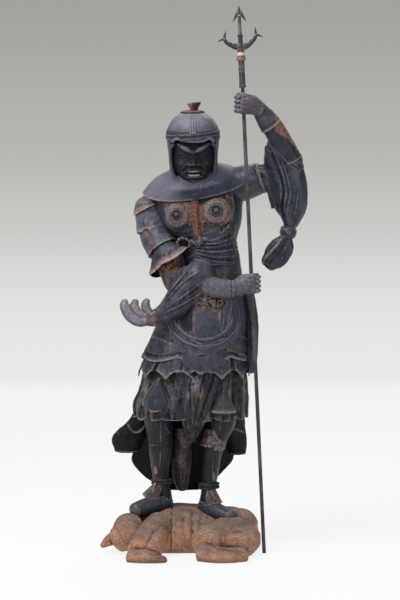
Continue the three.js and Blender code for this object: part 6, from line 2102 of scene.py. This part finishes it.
def backdrop_paper():
    """Paper that glows by itself, bright at the floor and grey at the top as painted shade, with a little
    room for shadows.
    """
    s = studio()
    material = bpy.data.materials.new("backdrop_paper")
    material.use_nodes = True
    t = Tree(material.node_tree)
    shader = material.node_tree.nodes["Principled BSDF"]
    place = t.add("ShaderNodeTexCoord").outputs["Object"]
    height = t.add("ShaderNodeSeparateXYZ", {"Vector": place}).outputs["Z"]
    fade = t.add("ShaderNodeValToRGB", {"Fac": t.math("DIVIDE", height, BACKDROP_FADE[-1][0])})
    stops = fade.color_ramp.elements
    for z, _ in BACKDROP_FADE[1:-1]:
        stops.new(z / BACKDROP_FADE[-1][0])
    for stop, (_, share) in zip(stops, BACKDROP_FADE):
        stop.color = (share, share, share, 1)
    fibre = t.between(t.noise(place, 60.0, 4.0), 0.3, 0.7, 0.985, 1.0)
    tone = t.mix(fibre, (0.5, 0.5, 0.5), t.mix(fade.outputs["Color"], s.backdrop, s.floor))
    t.feed(shader.inputs["Base Color"], t.mix(0.85, tone, (0, 0, 0)))
    t.feed(shader.inputs["Emission Color"], tone)
    shader.inputs["Emission Strength"].default_value = 0.9
    shader.inputs["Roughness"].default_value = 0.9
    shader.inputs["Specular IOR Level"].default_value = 0.1
    return material


class LOKAPALA_PT_panel(Panel):
    """The steps, in the order that they are taken"""

    bl_idname = "LOKAPALA_PT_panel"
    bl_label = "Lokapala figure"
    bl_space_type = "VIEW_3D"
    bl_region_type = "UI"
    bl_category = "Lokapala"

    def draw(self, context):
        layout = self.layout
        for group in (
                context.scene.lokapala_sizes, context.scene.lokapala_colours, context.scene.lokapala_studio):
            box = layout.box()
            for name in group.bl_rna.properties.keys():
                if name not in ("rna_type", "name"):
                    box.prop(group, name)
        for step in STEPS:
            layout.operator(step.bl_idname)


STEPS = (
    LOKAPALA_OT_carve_demon, LOKAPALA_OT_carve_head, LOKAPALA_OT_carve_trunk, LOKAPALA_OT_carve_skirts,
    LOKAPALA_OT_carve_hangings, LOKAPALA_OT_carve_legs, LOKAPALA_OT_carve_arms, LOKAPALA_OT_make_staff,
    LOKAPALA_OT_carve_finial, LOKAPALA_OT_set_stage)
CLASSES = (FigureSizes, FigureColours, StudioSettings, *STEPS, LOKAPALA_PT_panel)


def register():
    for made in CLASSES:
        bpy.utils.register_class(made)
    bpy.types.Scene.lokapala_sizes = PointerProperty(type=FigureSizes)
    bpy.types.Scene.lokapala_colours = PointerProperty(type=FigureColours)
    bpy.types.Scene.lokapala_studio = PointerProperty(type=StudioSettings)


def unregister():
    for name in ("lokapala_sizes", "lokapala_colours", "lokapala_studio"):
        delattr(bpy.types.Scene, name)
    for made in reversed(CLASSES):
        bpy.utils.unregister_class(made)


def main():
    register()
    for step in STEPS:
        operator = getattr(bpy.ops.lokapala, step.bl_idname.split(".")[1])
        if operator() != {"FINISHED"}:
            raise RuntimeError(f"{step.bl_label} did not finish")


if __name__ == "__main__":
    main()
